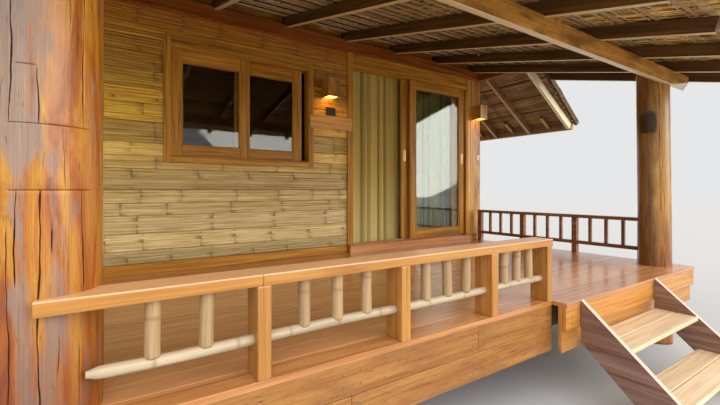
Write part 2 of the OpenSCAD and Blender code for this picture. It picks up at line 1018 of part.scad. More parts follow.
module bamboo_rails() {
    color("#D9B27C")
        difference() {
            for (i = [0 : len(rail_post_x) - 1])
                bamboo_rail_shape(i);
            log_shape(seat);
        }
}

module bamboo_balusters() {
    height = handrail_z - handrail_t - bamboo_rail_z;
    color("#DDBB88")
        difference() {
            for (i = [0 : len(rail_post_x) - 1]) {
                count = i == 0 ? 2 : 3;
                left = rail_ends[i] + (i == 0 ? 0 : rail_post_w / 2);
                right = rail_ends[i + 1] - rail_post_w / 2;
                for (k = [1 : count])
                    translate([left + (right - left) * k / (count + 1), rail_y, deck_z + bamboo_rail_z])
                        bamboo(height, bamboo_d, 150);
            }
            for (i = [0 : len(rail_post_x) - 1])
                bamboo_rail_shape(i, 2 * seat);
        }
}

// Railing along one side of the deck
module side_rails() {
    top_t = 38;
    foot_z = 108;
    foot_h = 40;
    color("#7C3E1E")
        for (side = [-1, 1])
            mirror([side < 0 ? 1 : 0, 0, 0])
                for (i = [0 : side_bays]) {
                    y = side_rail_end - i * side_bay;
                    block([side_rail_x - side_post_w / 2, y - side_post_w / 2, deck_z],
                          [side_rail_x + side_post_w / 2, y + side_post_w / 2,
                           deck_z + side_rail_z - top_t]);
                    if (i < side_bays)
                        for (k = [1 : 3])
                            translate([side_rail_x, y - k * side_bay / 4, deck_z + foot_z])
                                translate([-side_bar_w / 2, -side_bar_w / 2, 0])
                                    cube([side_bar_w, side_bar_w, side_rail_z - foot_z]);
                    if (i == 0) {
                        last = y - side_bays * side_bay;
                        block([side_rail_x - 38, last - side_post_w / 2, deck_z + side_rail_z - top_t],
                              [side_rail_x + 34, y + side_post_w / 2, deck_z + side_rail_z]);
                        block([side_rail_x - 20, last, deck_z + foot_z],
                              [side_rail_x + 20, y, deck_z + foot_z + foot_h]);
                    }
                }
}

// Middle of the house from front to back, over the stairs and the roof
stair_front_y = entry_y - (deck_z - stair_foot_h) * tread_run / riser;
cap_back_y = room_depth - rake_ridge_y + cap_out;
thatch_front_y = -(rafter_length + veranda_overhang) * cos(veranda_pitch)
    - (rafter_h + batten_d + veranda_thatch_t) * sin(veranda_pitch);
mid_y = (min(stair_front_y, thatch_front_y) + cap_back_y) / 2;

module place() {
    translate([0, -mid_y, 0])
        children();
}

place() stilts();
place() floor_bearers();
place() floor_joists();
place() deck();
place() room_floor();
place() front_fascia();
place() entry_fascia();
place() side_fascias();
place() stair_stringers();
place() stair_treads();
place() log_post();
place() round_post();
place() front_beam();
place() corner_posts();
place() wall_sills();
place() wall_left_of_window();
place() wall_under_window();
place() wall_over_window();
place() walls_beside_door();
place() side_walls();
place() back_wall();
place() gable_walls();
place() wall_plates();
place() window_frame();
place() window_sashes();
place() window_glass();
place() door_frame();
place() door_sill();
place() left_door_leaf();
place() left_door_glass();
place() left_door_pull();
place() right_door_leaf();
place() right_door_glass();
place() right_door_pull();
place() curtain();
place() curtain_rod();
place() wall_lamps();
place() veranda_rafters();
place() veranda_battens();
place() veranda_thatch();
place() ridge_beam();
place() roof_rafters();
place() roof_battens();
place() roof_thatch();
place() ridge_cap();
place() eave_boards();
place() handrail();
place() rail_posts();
place() bamboo_rails();
place() bamboo_balusters();
place() side_rails();
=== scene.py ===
"""Stilt house with a railed veranda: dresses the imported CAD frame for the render.

Every piece is worked out in metres in the CAD's own frame, with +X to the right seen from the
stairs, +Y from the stairs to the back wall and +Z up. Timber, bamboo and leaves carry a UV map in
metres, U along the piece and V round or across it, so that grain and fibre follow each member.
"""

import bpy
import numpy as np
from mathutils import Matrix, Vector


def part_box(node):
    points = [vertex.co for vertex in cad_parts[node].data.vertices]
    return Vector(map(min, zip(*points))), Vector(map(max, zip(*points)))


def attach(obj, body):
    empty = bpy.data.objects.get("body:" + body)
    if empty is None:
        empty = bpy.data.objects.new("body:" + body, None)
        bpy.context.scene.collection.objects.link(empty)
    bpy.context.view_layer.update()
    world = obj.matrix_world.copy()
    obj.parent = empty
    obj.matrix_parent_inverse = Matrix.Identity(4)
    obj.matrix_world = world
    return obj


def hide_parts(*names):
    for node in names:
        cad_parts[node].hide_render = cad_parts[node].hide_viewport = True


bl_info = {
    "name": "Stilt House",
    "version": (1, 0, 0),
    "blender": (4, 5, 0),
    "location": "View3D > Sidebar > Stilt House",
    "description": "Dresses a bamboo and thatch stilt house with a railed veranda",
    "category": "Object",
}

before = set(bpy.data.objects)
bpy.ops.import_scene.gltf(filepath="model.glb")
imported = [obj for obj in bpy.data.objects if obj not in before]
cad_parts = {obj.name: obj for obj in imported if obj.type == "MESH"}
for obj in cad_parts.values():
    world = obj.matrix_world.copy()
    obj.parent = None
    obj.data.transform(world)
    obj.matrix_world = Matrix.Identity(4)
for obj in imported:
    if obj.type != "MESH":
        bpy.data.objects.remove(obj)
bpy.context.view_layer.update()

# Slopes of the two roofs, from part.scad
ROOF_PITCH = np.radians(33.5)
VERANDA_PITCH = np.radians(13.4)
# The turns in radians that lay the wood's pattern along the rafters of each
VERANDA_TURN = 0.2339
ROOF_TURN = 0.5847
# Radii of the log and of the round post, and the radius at which their angles are read in metres
LOG_RADIUS = 0.193
POST_RADIUS = 0.146
BARK_RADIUS = 0.19
# How far the fascias stand back from the edge of the deck
FASCIA_SET = 0.006
# Foot and head of the whole wall that chance is drawn for
WALL_SPAN = (0.87, 3.3)
# The main roof's underside at the ridge, and the Y of its front rake
ROOF_UNDERSIDE = 5.36
ROOF_RAKE = -2.2
# How far a visible board stands in front of the solid behind it, and the joint between two boards
PROUD = 0.0002
JOINT = 0.001


def low(node):
    """Lowest corner of a CAD node."""
    return np.array(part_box(node)[0])


def high(node):
    """Highest corner of a CAD node."""
    return np.array(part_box(node)[1])


def corners_of(node):
    """Lowest and highest corner of a CAD node."""
    return low(node), high(node)


def rng(seed):
    """The one source of chance, always seeded."""
    return np.random.default_rng(seed)


# Meshes


def quads_of(count, rows, columns, closed):
    """Corners of the quads of count grids of rows by columns points.

    The quad of cell (i, j) joins points (i, j), (i, j+1), (i+1, j+1) and (i+1, j); a closed grid
    joins its last column to its first. The second result numbers the same corners on a grid with
    one more column where closed, so that the UV map has no stretched last column.
    """
    last = columns if closed else columns - 1
    i, j = np.meshgrid(np.arange(rows - 1), np.arange(last), indexing="ij")
    k = (j + 1) % columns
    corners = np.stack([i * columns + j, i * columns + k, (i + 1) * columns + k, (i + 1) * columns + j], -1)
    wide = last + 1
    seams = np.stack([i * wide + j, i * wide + j + 1, (i + 1) * wide + j + 1, (i + 1) * wide + j], -1)
    step = np.arange(count)[:, None, None]
    corners = corners.reshape(-1, 4)[None] + step * rows * columns
    seams = seams.reshape(-1, 4)[None] + step * rows * wide
    return corners.reshape(-1, 4), seams.reshape(-1, 4)


class Shape:
    """Grids of points gathered into one mesh, with UV in metres and attributes per point."""

    def __init__(self):
        self.points = []
        self.faces = []
        self.uv = []
        self.marks = {"shade": [], "wear": []}
        self.count = 0

    def add(self, points, uv=None, closed=False, caps=False, shade=0.5, wear=0.0, flip=False):
        """Adds points of shape (rows, columns, 3), or (count, rows, columns, 3) for like grids.

        closed joins the last column to the first and caps fills both ends. shade and
        wear are one number, one for each grid, or one for each point; the second
        carries real wear and marks together with painted shade and highlights.
        """
        points = np.asarray(points, float)
        if points.ndim == 3:
            points = points[None]
        count, rows, columns = points.shape[:3]
        corners, seams = quads_of(count, rows, columns, closed)
        wide = columns + 1 if closed else columns
        if uv is None:
            uv = grid_uv(points, closed)
        uv = np.broadcast_to(np.asarray(uv, float), (count, rows, wide, 2)).reshape(-1, 2)
        if flip:
            corners = corners[:, ::-1]
            seams = seams[:, ::-1]
        self.faces.append(corners + self.count)
        self.uv.append(uv[seams].reshape(-1, 2))
        if caps:
            ring = np.arange(columns)
            start = np.arange(count)[:, None] * rows * columns
            for end in (ring[::-1], ring + (rows - 1) * columns):
                cap = (start + end[None]).reshape(count, columns)
                flat = points.reshape(-1, 3)[cap]
                self.faces.append((cap[:, ::-1] if flip else cap) + self.count)
                across = flat - flat.mean(1, keepdims=True)
                spread = np.stack([np.linalg.norm(across[..., :2], axis=-1), across[..., 2]], -1) * 0.3
                spread = spread[:, ::-1] if flip else spread
                self.uv.append(spread.reshape(-1, 2))
        for name, value in (("shade", shade), ("wear", wear)):
            value = np.asarray(value, float)
            if value.ndim == 1:
                value = value[:, None, None]
            self.marks[name].append(np.broadcast_to(value, (count, rows, columns)).reshape(-1))
        self.points.append(points.reshape(-1, 3))
        self.count += count * rows * columns

    def piece(self, name, finish, replaces=None, body="house"):
        """Makes the mesh object with a finish and its slot, and hangs it on its CAD body."""
        mesh = bpy.data.meshes.new(name)
        points = np.concatenate(self.points)
        corners = np.concatenate([f.reshape(-1) for f in self.faces])
        totals = np.concatenate([np.full(len(f), f.shape[1]) for f in self.faces])
        starts = np.concatenate([[0], np.cumsum(totals)[:-1]])
        mesh.vertices.add(len(points))
        mesh.vertices.foreach_set("co", points.reshape(-1).astype(np.float32))
        mesh.loops.add(len(corners))
        mesh.loops.foreach_set("vertex_index", corners.astype(np.int32))
        mesh.polygons.add(len(totals))
        mesh.polygons.foreach_set("loop_start", starts.astype(np.int32))
        mesh.polygons.foreach_set("use_smooth", np.full(len(totals), True))
        layer = mesh.uv_layers.new(name="UVMap")
        layer.uv.foreach_set("vector", np.concatenate(self.uv).reshape(-1).astype(np.float32))
        for mark, values in self.marks.items():
            attribute = mesh.attributes.new(mark, "FLOAT", "POINT")
            attribute.data.foreach_set("value", np.concatenate(values).astype(np.float32))
        mesh.update(calc_edges=True)
        if mesh.validate():
            raise RuntimeError(f"{name}: a face of its mesh isn't sound")
        mesh.materials.append(FINISHES[finish])
        piece = bpy.data.objects.new(name, mesh)
        bpy.context.scene.collection.objects.link(piece)
        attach(piece, body)
        if replaces:
            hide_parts(replaces)
        return piece


def paired(u, v):
    """U and V as one map, each spread over the other's rows and columns."""
    return np.stack(np.broadcast_arrays(u, v), -1)


def grid_uv(points, closed):
    """UV of each grid in metres: U is the way walked along the rows, V along the columns."""
    if closed:
        points = np.concatenate([points, points[:, :, :1]], 2)
    along = np.linalg.norm(np.diff(points, axis=1), axis=-1).mean(2)
    across = np.linalg.norm(np.diff(points, axis=2), axis=-1).mean(1)
    u = np.concatenate([np.zeros((len(points), 1)), np.cumsum(along, 1)], 1)
    v = np.concatenate([np.zeros((len(points), 1)), np.cumsum(across, 1)], 1)
    return paired(u[:, :, None], v[:, None, :])


def ease(t):
    """0 below 0, 1 above 1 and a smooth step between them."""
    t = np.clip(t, 0.0, 1.0)
    return t * t * (3 - 2 * t)


def swell(seed, count, *where):
    """A gentle unevenness between about -1 and 1: the mean of count sines of chance directions.

    where are the coordinates, each already divided by the size of the swells.
    """
    chance = rng(seed)
    total = 0.0
    for _ in range(count):
        phase = chance.uniform(0, 2 * np.pi)
        total = total + np.sin(
            sum(w * f for w, f in zip(where, chance.uniform(-1.6, 1.6, len(where)))) + phase
        )
    return total / count * 1.4


def rounded_bar(half_a, half_b, corner):
    """Outline of a bar's section: a rectangle whose corners are quarter circles.

    The point at angle t of corner (sa, sb) is (sa (half_a - corner) + corner cos t, sb ... sin t).
    A point on the flat beside each end of an arc keeps the shading of the flats flat.
    """
    turn = np.linspace(0, np.pi / 2, 3)
    corner = min(corner, half_a * 0.98, half_b * 0.98)
    beside = min(corner * 0.8, (half_a - corner) * 0.4, (half_b - corner) * 0.4)
    rings = []
    for quarter, (sa, sb) in enumerate(((1, 1), (-1, 1), (-1, -1), (1, -1))):
        t = turn + quarter * np.pi / 2
        arc = np.stack(
            [sa * (half_a - corner) + corner * np.cos(t), sb * (half_b - corner) + corner * np.sin(t)], -1
        )
        before = arc[:1] - beside * np.array([-np.sin(t[0]), np.cos(t[0])])
        after = arc[-1:] + beside * np.array([-np.sin(t[-1]), np.cos(t[-1])])
        rings.extend([before, arc, after])
    return np.concatenate(rings)


AXES = {"x": (0, 1, 2), "y": (1, 2, 0), "z": (2, 0, 1)}


def bar(shape, lowest, highest, along, corner=0.003, seed=0, rows=12, bow=0.0006, shade=None, wear=0.0):
    """Adds one sawn timber between two corners: its rounded section is carried along one axis.

    Near each end the section shrinks by the corner's radius on a quarter circle, so that the end
    edges are eased too, and a swell of bow metres keeps the faces from being dead flat.
    """
    lowest, highest = np.asarray(lowest, float), np.asarray(highest, float)
    a, b, c = AXES[along]
    middle = (lowest + highest) / 2
    half = (highest - lowest) / 2
    corner = min(corner, half[b] * 0.5, half[c] * 0.5, half[a] * 0.4)
    outline = rounded_bar(half[b], half[c], corner)
    turn = np.linspace(0, np.pi / 2, 3)
    eased = corner * (1 - np.cos(turn))
    shrink = corner * (1 - np.sin(turn))
    inner = np.linspace(-half[a] + 1.8 * corner, half[a] - 1.8 * corner, max(rows, 2))
    inner = np.concatenate([[-half[a] + corner], inner, [half[a] - corner]])
    u = np.concatenate([-half[a] + eased[:-1], inner, half[a] - eased[:-1][::-1]])
    inset = np.concatenate([shrink[:-1], np.zeros(len(inner)), shrink[:-1][::-1]])
    scale = 1 - inset[:, None, None] / np.array([half[b], half[c]])
    section = outline[None] * scale
    u_grid = np.repeat(u[:, None], outline.shape[0], 1)
    lift = swell(seed, 4, u_grid / 0.25, outline[None, :, 0] / 0.05, outline[None, :, 1] / 0.05)
    section = section * (1 - (bow * (1 + lift) / 2)[..., None] / np.array([half[b], half[c]]))
    points = np.zeros(section.shape[:2] + (3,))
    points[..., a] = middle[a] + u_grid
    points[..., b] = middle[b] + section[..., 0]
    points[..., c] = middle[c] + section[..., 1]
    uv = grid_uv(points[None], True) + rng(seed + 7).uniform(0, 9, 2)
    if shade is None:
        shade = rng(seed + 3).uniform(0.25, 0.75)
    shape.add(points, uv, closed=True, caps=True, shade=shade, wear=wear)


def tube(shape, path, radius, sides=12, shade=0.5, wear=0.0, caps=True, uv_start=0.0):
    """Adds a round pole: a circle of each row's radius carried square to the path.

    The circle's two directions are the path's direction crossed with a fixed helper, and crossed
    again, so that it never twists.
    """
    path = np.asarray(path, float)
    radius = np.broadcast_to(np.asarray(radius, float), (len(path),))
    way = np.gradient(path, axis=0)
    way /= np.linalg.norm(way, axis=1, keepdims=True)
    helper = np.array([0.0, 0.0, 1.0]) if abs(way[0, 2]) < 0.8 else np.array([1.0, 0.0, 0.0])
    first = np.cross(helper, way)
    first /= np.linalg.norm(first, axis=1, keepdims=True)
    second = np.cross(way, first)
    t = np.linspace(0, 2 * np.pi, sides, endpoint=False)
    ring = first[:, None] * np.cos(t)[None, :, None] + second[:, None] * np.sin(t)[None, :, None]
    points = path[:, None] + ring * radius[:, None, None]
    uv = grid_uv(points[None], True) + np.array([uv_start, uv_start * 0.37])
    shape.add(points, uv, closed=True, caps=caps, shade=shade, wear=wear)


# Colours and materials


def linear(code):
    """An sRGB colour such as "#C26A30" as linear red, green, blue and alpha."""
    parts = np.array([int(code[i : i + 2], 16) for i in (1, 3, 5)]) / 255
    parts = np.where(parts <= 0.04045, parts / 12.92, ((parts + 0.055) / 1.055) ** 2.4)
    return (*(float(p) for p in parts), 1.0)


def add_node(tree, kind, inputs, stops=None, **settings):
    """Adds a node with its settings and links.

    kind is the node's type after ShaderNode. inputs maps a socket's name or number to a value, or
    to a link (other node, its socket). stops are the places and colours of a colour ramp.
    """
    node = tree.nodes.new("ShaderNode" + kind)
    for name, value in settings.items():
        setattr(node, name, value)
    if stops:
        while len(node.color_ramp.elements) < len(stops):
            node.color_ramp.elements.new(1.0)
        for element, (position, colour) in zip(node.color_ramp.elements, stops):
            element.position = position
            element.color = linear(colour) if isinstance(colour, str) else tuple(colour)
    for name, value in inputs.items():
        if isinstance(value, tuple) and isinstance(value[0], bpy.types.Node):
            tree.links.new(value[0].outputs[value[1]], node.inputs[name])
        else:
            node.inputs[name].default_value = value
    return node


class Finish:
    """A material that is built up layer over layer, from the stuff's own colour outwards."""

    def __init__(self, name, along="UV", turn=(0.0, 0.0, 0.0), fold=False, **sockets):
        """Starts a material whose constant values are set on the shader's own sockets.

        along is UV, where patterns are read from the UV map in metres and run along U, or else the
        axis of the object's own metres that they run along, once turned. fold reads both slopes of
        the main roof alike, by the absolute value of each coordinate.
        """
        self.material = bpy.data.materials.new(name)
        self.material.use_nodes = True
        self.tree = self.material.node_tree
        self.shader = self.tree.nodes["Principled BSDF"]
        for socket, value in sockets.items():
            self.shader.inputs[socket.replace("_", " ")].default_value = value
        self.along, self.turn, self.fold = along, turn, fold
        self.colour = self.grain = None

    def marks(self, length_mm, width_mm, detail, roughness=0.5, distortion=0.0):
        """Unevenness whose marks are so long and so wide in mm."""
        place_node = add_node(self.tree, "TexCoord", {})
        start = (place_node, "UV" if self.along == "UV" else "Object")
        if self.fold:
            start = (add_node(self.tree, "VectorMath", {0: start}, operation="ABSOLUTE"), 0)
        scale = [1000 / width_mm] * 3
        scale[{"UV": 0, "x": 0, "y": 1, "z": 2}[self.along]] = 1000 / length_mm
        turned_to = add_node(self.tree, "Mapping", {"Vector": start, "Rotation": self.turn})
        read_at = add_node(self.tree, "Mapping", {"Vector": (turned_to, 0), "Scale": scale})
        sockets = {
            "Vector": (read_at, 0), "Scale": 1.0, "Detail": detail, "Roughness": roughness,
            "Distortion": distortion
        }
        return add_node(self.tree, "TexNoise", sockets), 0

    def marked(self, name):
        """An attribute of the mesh: shade for a part's own tone, and on the curtain the painted shade and
        highlight of its folds; wear for real bands, knots and wear, and for painted shade in cracks, grooves
        and laps and painted highlights on edges.
        """
        return add_node(self.tree, "Attribute", {}, attribute_name=name), 2

    def place(self, axis):
        """The object's own X, Y or Z in metres."""
        spot = add_node(self.tree, "TexCoord", {})
        return add_node(self.tree, "SeparateXYZ", {0: (spot, "Object")}), axis

    def facing(self, axis, either_way=False):
        """How far a face looks along an axis, or along it either way."""
        normal = (add_node(self.tree, "NewGeometry", {}), "Normal")
        if either_way:
            normal = (add_node(self.tree, "VectorMath", {0: normal}, operation="ABSOLUTE"), 0)
        return add_node(self.tree, "SeparateXYZ", {0: normal}), axis

    def coloured(self, pattern, *stops):
        """Gives the stuff its own colours, along a pattern."""
        self.colour = (add_node(self.tree, "ValToRGB", {0: pattern}, stops=stops), 0)
        return self.colour

    def shaded(self, pattern, start, full, dark, pale, share=1.0):
        """Multiplies by a grey that runs from dark to pale as a pattern runs from start to full."""
        run = (pattern, start, full, dark, pale)
        grey = (add_node(self.tree, "MapRange", dict(enumerate(run))), 0)
        grey = (add_node(self.tree, "CombineColor", {0: grey, 1: grey, 2: grey}), 0)
        self.blended(share, grey, "MULTIPLY")
        return grey

    def blended(self, share, over, blend_type="MIX"):
        """Lays a colour over the last one by a share of it."""
        sockets = {0: share, 6: self.colour, 7: over}
        self.colour = (add_node(self.tree, "Mix", sockets, data_type="RGBA", blend_type=blend_type), 2)

    def covered(self, pattern, start, full, low_share, high_share, over, grained=0.0, blend_type="MIX"):
        """Lays a colour over the last one where a pattern lies between start and full.

        grained is how much of the stuff's own grain shows through it.
        """
        over = linear(over) if isinstance(over, str) else over
        if grained:
            below, self.colour = self.colour, over
            self.blended(grained, self.grain, "MULTIPLY")
            over, self.colour = self.colour, below
        run = (pattern, start, full, low_share, high_share)
        self.blended((add_node(self.tree, "MapRange", dict(enumerate(run))), 0), over, blend_type)

    def done(self, gloss=None, relief=None):
        """Joins the colour, the roughness that a pattern moves and the relief to the shader."""
        joined = {"Base Color": self.colour}
        if gloss:
            joined["Roughness"] = (add_node(self.tree, "MapRange", dict(enumerate(gloss))), 0)
        if relief:
            pattern, strength, depth = relief
            sockets = {"Strength": strength, "Distance": depth, "Height": pattern}
            joined["Normal"] = (add_node(self.tree, "Bump", sockets), 0)
        for socket, link in joined.items():
            if link:
                self.tree.links.new(link[0].outputs[link[1]], self.shader.inputs[socket])
        return self.material


def sawn_timber(name, dark, middle, pale, along="UV", rough=(0.6, 0.8), coat=0.0, relief=0.25,
                turn=(0.0, 0.0, 0.0), fold=False, underside=None, edge=None, grime=None, checks=0.0,
                ends=None, rim=None, ior=1.5):
    """A sawn and planed wood: long fibres, broader figure, and each board a little apart in tone.

    underside is a paler colour of faces that look down: a painted highlight for the light bounced
    up from below. edge is a colour laid on where an attribute says so: real wear on the treads, and
    a painted highlight on the handrail's front upper edge and on the front deck boards. grime is the
    colour of handled and smoked patches 0.35 m long, checks the strength of fine dark drying checks
    7 mm wide, and ends the colour of the timbers beyond two places along Y. rim is an axis, the sizes
    of a normal along it where a colour set by the way a face looks starts and is full, and the
    colour; on the varnished teak it is a painted highlight on the faces that look up.
    """
    wood = Finish(name, along, turn, fold, Coat_Weight=coat, Coat_Roughness=0.16, IOR=ior)
    fine = wood.marks(260, 2.6, 5.0, 0.62)
    wood.coloured(wood.marks(900, 34, 4.0, 0.55, 0.8), (0.3, dark), (0.5, middle), (0.72, pale))
    wood.grain = wood.shaded(fine, 0.36, 0.62, 0.58, 1.14, 0.55)
    if along == "UV":
        wood.shaded(wood.marked("shade"), 0.0, 1.0, 0.72, 1.22)
    if grime:
        wood.covered(wood.marks(350, 110, 6.0, 0.65), 0.46, 0.6, 0.0, 0.75, grime, 0.6)
    if checks:
        wood.covered(wood.marks(120, 7, 3.0, 0.5, 1.5), 0.33, 0.38, checks, 0.0, "#5A3214")
    # Painted highlight: faces that look down are paler, standing in for light bounced up from below
    if underside:
        wood.covered(wood.facing(2), -0.6, -0.45, 1.0, 0.0, underside, 0.5)
    if ends:
        wood.covered(wood.place(1), ends[0], ends[0] + 0.01, 1.0, 0.0, ends[2], 0.5)
        wood.covered(wood.place(1), ends[1] - 0.01, ends[1], 0.0, 1.0, ends[2], 0.5)
    if rim:
        wood.covered(wood.facing(rim[0], True), rim[1], rim[2], 0.0, 1.0, rim[3], 0.6)
    # The edge colour is real wear on the treads, and a painted highlight on the handrail's front edge and the
    # front deck boards
    if edge:
        wood.blended(wood.marked("wear"), linear(edge))
    return wood.done((fine, 0.3, 0.7, rough[1], rough[0]), (fine, relief, 0.0008))


def log_varnish(name, tongues, greyed, streaks=(0.7, 1.12), coat=0.25):
    """Varnished teak log: amber heartwood, mauve-grey weathered patches, thin dark drying cracks.

    The eye sees 4 mm fibres, tongues of amber and brown 0.08 m wide and 0.6 m long, flecks of
    old knots, and a coat of varnish that is dull where the wood has gone grey. greyed is the range
    of unevenness over which it greys, and an attribute moves that from place to place. Rain that
    splashes from the ground has darkened its foot. The dark laid in the cracks and saw kerfs is
    painted shade.
    """
    wood = Finish(name, IOR=1.5, Coat_Roughness=0.2, Coat_Weight=coat)
    fine = wood.marks(300, 4, 6.0, 0.65)
    wood.coloured(wood.marks(600, 80, 5.0, 0.62, 1.2), *tongues)
    wood.grain = wood.shaded(fine, 0.36, 0.62, *streaks, 0.7)
    run = (wood.marked("shade"), 0.0, 1.0, -0.25, 0.25)
    moved = (add_node(wood.tree, "MapRange", dict(enumerate(run))), 0)
    patch = wood.marks(380, 60, 7.0, 0.7, 0.6)
    grown = (add_node(wood.tree, "Math", {0: patch, 1: moved}, operation="ADD"), 0)
    wood.covered(grown, *greyed, 0.0, 0.84, "#98847A", 0.7)
    wood.covered(wood.place(2), 0.9, 1.45, 0.75, 0.0, "#C09A82", blend_type="MULTIPLY")
    wood.covered(wood.marks(60, 9, 4.0), 0.62, 0.7, 0.0, 0.5, "#5A3012")
    wood.covered(fine, 0.3, 0.37, 0.6, 0.0, "#4A2A14")
    # Painted shade in the cracks and saw kerfs and down the post's shaded side; the knots' hearts and the
    # post's housing are dark wood
    wood.covered(wood.marked("wear"), 0.2, 0.75, 0.0, 0.94, "#3C322C")
    return wood.done((grown, *greyed, 0.3, 0.6), (fine, 0.3, 0.0012))


def flattened_bamboo(name, along="UV"):
    """Lacquered flattened bamboo: split culms 150 mm wide, opened flat, golden above, pale below.

    Long fibres 2 mm wide and splits drawn 11 mm wide so that they show, each slat and each culm its
    own tone, and a brown band at each node. Painted shade darkens it towards the top, where the roof
    shades the wall, and in the grooves between culms.
    """
    skin = Finish(name, along, IOR=1.48, Coat_Weight=0.18, Coat_Roughness=0.25)
    fine = skin.marks(320, 2.2, 4.0, 0.6)
    broad = skin.marks(420, 11, 4.0, 0.6)
    pale = skin.coloured(broad, (0.3, "#A88E54"), (0.5, "#D2C28C"), (0.72, "#E8E0C0"))
    skin.coloured(broad, (0.3, "#A87010"), (0.44, "#D69E24"), (0.56, "#EEC23C"), (0.72, "#FADA6A"))
    skin.covered(skin.place(2), 1.35, 2.35, 0.75, 0.0, pale)
    # Painted shade: darker towards the top of the wall, where the roof overhang shades it
    skin.covered(skin.place(2), 2.3, 3.2, 0.0, 0.75, "#C68430", blend_type="MULTIPLY")
    skin.shaded(fine, 0.34, 0.62, 0.72, 1.1, 0.6)
    if along == "UV":
        skin.shaded(skin.marked("shade"), 0.0, 1.0, 0.66, 1.34)
        # The attribute darkens the node bands, the bamboo's own colour, and lays painted shade in the grooves
        # between culms
        skin.blended(skin.marked("wear"), linear("#643E16"))
    return skin.done((fine, 0.3, 0.7, 0.5, 0.34), (fine, 0.3, 0.0006))


def bamboo_pole_skin(name, along="UV", tones=("#A98A62", "#CBB08A", "#DCCBAA")):
    """Natural bamboo pole, dried: tan skin with fine fibres, sooty freckles and brown node rings."""
    skin = Finish(name, along, IOR=1.48, Coat_Weight=0.12, Coat_Roughness=0.3)
    fine = skin.marks(260, 2.0, 4.0, 0.6)
    freckles = skin.marks(26, 14, 6.0, 0.7)
    skin.coloured(fine, *zip((0.3, 0.47, 0.7), tones))
    skin.covered(freckles, 0.6, 0.72, 0.0, 0.55, "#8A6A48")
    if along == "UV":
        skin.shaded(skin.marked("shade"), 0.0, 1.0, 0.8, 1.14)
        skin.blended(skin.marked("wear"), linear("#7A5A3A"))
    return skin.done((freckles, 0.3, 0.7, 0.36, 0.55), (fine, 0.2, 0.0006))


def palm_leaf(name, dark, middle, pale, along="UV", painted_inner_shade=None, holes=0.0):
    """Dry palm leaf: parallel veins 3 mm apart, blotches, every leaf its own brown.

    painted_inner_shade is the Y where the leaf is unshaded, the Y where it is darkest and how dark it
    is there: painted shade that deepens under the roof. holes is the strength of dark patches, 40 mm
    by 11 mm, painted where gaps open between woven leaves to stand in for the shade seen through them.
    """
    leaf = Finish(name, along, Roughness=0.78, IOR=1.45)
    vein = leaf.marks(260, 3.2, 4.0, 0.6)
    leaf.coloured(leaf.marks(150, 45, 4.0, 0.6), (0.3, dark), (0.5, middle), (0.7, pale))
    leaf.shaded(vein, 0.34, 0.64, 0.62, 1.16, 0.75)
    if along == "UV":
        leaf.shaded(leaf.marked("shade"), 0.0, 1.0, 0.5, 1.35)
        # The attribute lays painted shade where leaf laps over leaf
        leaf.blended(leaf.marked("wear"), linear("#3A2616"))
    # Painted shade: darker towards the back, deeper under the roof
    if painted_inner_shade:
        leaf.covered(leaf.place(1), painted_inner_shade[0], painted_inner_shade[1], 0.0, painted_inner_shade[2], "#241402")
    # Painted shade: dark patches where gaps open between woven leaves
    if holes:
        leaf.covered(leaf.marks(40, 11, 2.0), 0.63, 0.67, 0.0, holes, "#1E120A")
    return leaf.done(None, (vein, 0.5, 0.0012))


def clear_glass():
    """Float glass 5 mm thick, polished, with the faint green of its iron and a film of dust."""
    glass = Finish("clear_float_glass", "x", Base_Color=linear("#EEF6F2"), Transmission_Weight=1.0, IOR=1.5)
    return glass.done((glass.marks(1000 / 6, 1000 / 6, 3.0), 0.35, 0.75, 0.0, 0.05))


def satin_brass():
    """Satin brass, brushed along its length: fine 0.4 mm scratches drawn at 3 mm so they show."""
    brass = Finish("satin_brass", "z", Metallic=1.0)
    brushed = brass.marks(1000 / 12, 1000 / 300, 4.0)
    brass.coloured(brushed, (0.3, "#C9A866"), (0.7, "#EBD6A0"))
    return brass.done((brushed, 0.3, 0.7, 0.28, 0.42))


def curtain_linen(colour, foot_colour):
    """Olive linen: threads 1.2 mm apart drawn at 3 mm so they show, slubs, and a paler dusty foot.

    Painted shade darkens the creases of its folds and a painted highlight lightens their lobes.
    """
    cloth = Finish("olive_linen", Roughness=0.85, Sheen_Weight=0.25, Sheen_Roughness=0.4)
    cloth.colour = colour
    cloth.covered(cloth.place(2), 0.85, 1.9, 0.7, 0.0, foot_colour)
    thread = cloth.marks(3, 40, 3.0)
    cloth.shaded(thread, 0.3, 0.7, 0.78, 1.12)
    # Painted shade in the creases and painted highlight on the lobes, from the attribute
    cloth.shaded(cloth.marked("shade"), 0.0, 0.85, 0.36, 1.12)
    both = add_node(cloth.tree, "Math", {0: thread, 1: cloth.marks(60, 4, 4.0)}, operation="ADD")
    return cloth.done(None, ((both, 0), 0.35, 0.0008))


def painted_metal(name, code, rough):
    """Brushed paint on metal: one colour with an orange peel, drawn 8 mm wide so that it shows."""
    paint = Finish(name, "x", IOR=1.5, Coat_Weight=0.2)
    peel = paint.marks(8, 8, 4.0)
    base = np.array(linear(code))
    paint.coloured(peel, (0.3, base * 0.8), (0.7, np.minimum(base * 1.25, 1)))
    return paint.done((peel, 0.3, 0.7, rough * 0.85, rough * 1.15), (peel, 0.15, 0.0005))


def amber_diffuser():
    """Opal acrylic over a warm lamp: it glows amber, in patches from orange to pale amber."""
    opal = Finish("amber_opal_acrylic", "x", Roughness=0.4, Emission_Strength=9.0)
    glow = opal.coloured(opal.marks(1000 / 9, 1000 / 9, 2.0), (0.3, "#FF9A2E"), (0.7, "#FFC766"))
    opal.tree.links.new(glow[0].outputs[0], opal.shader.inputs["Emission Color"])
    return opal.done()


# Sizes and colours that a user would change


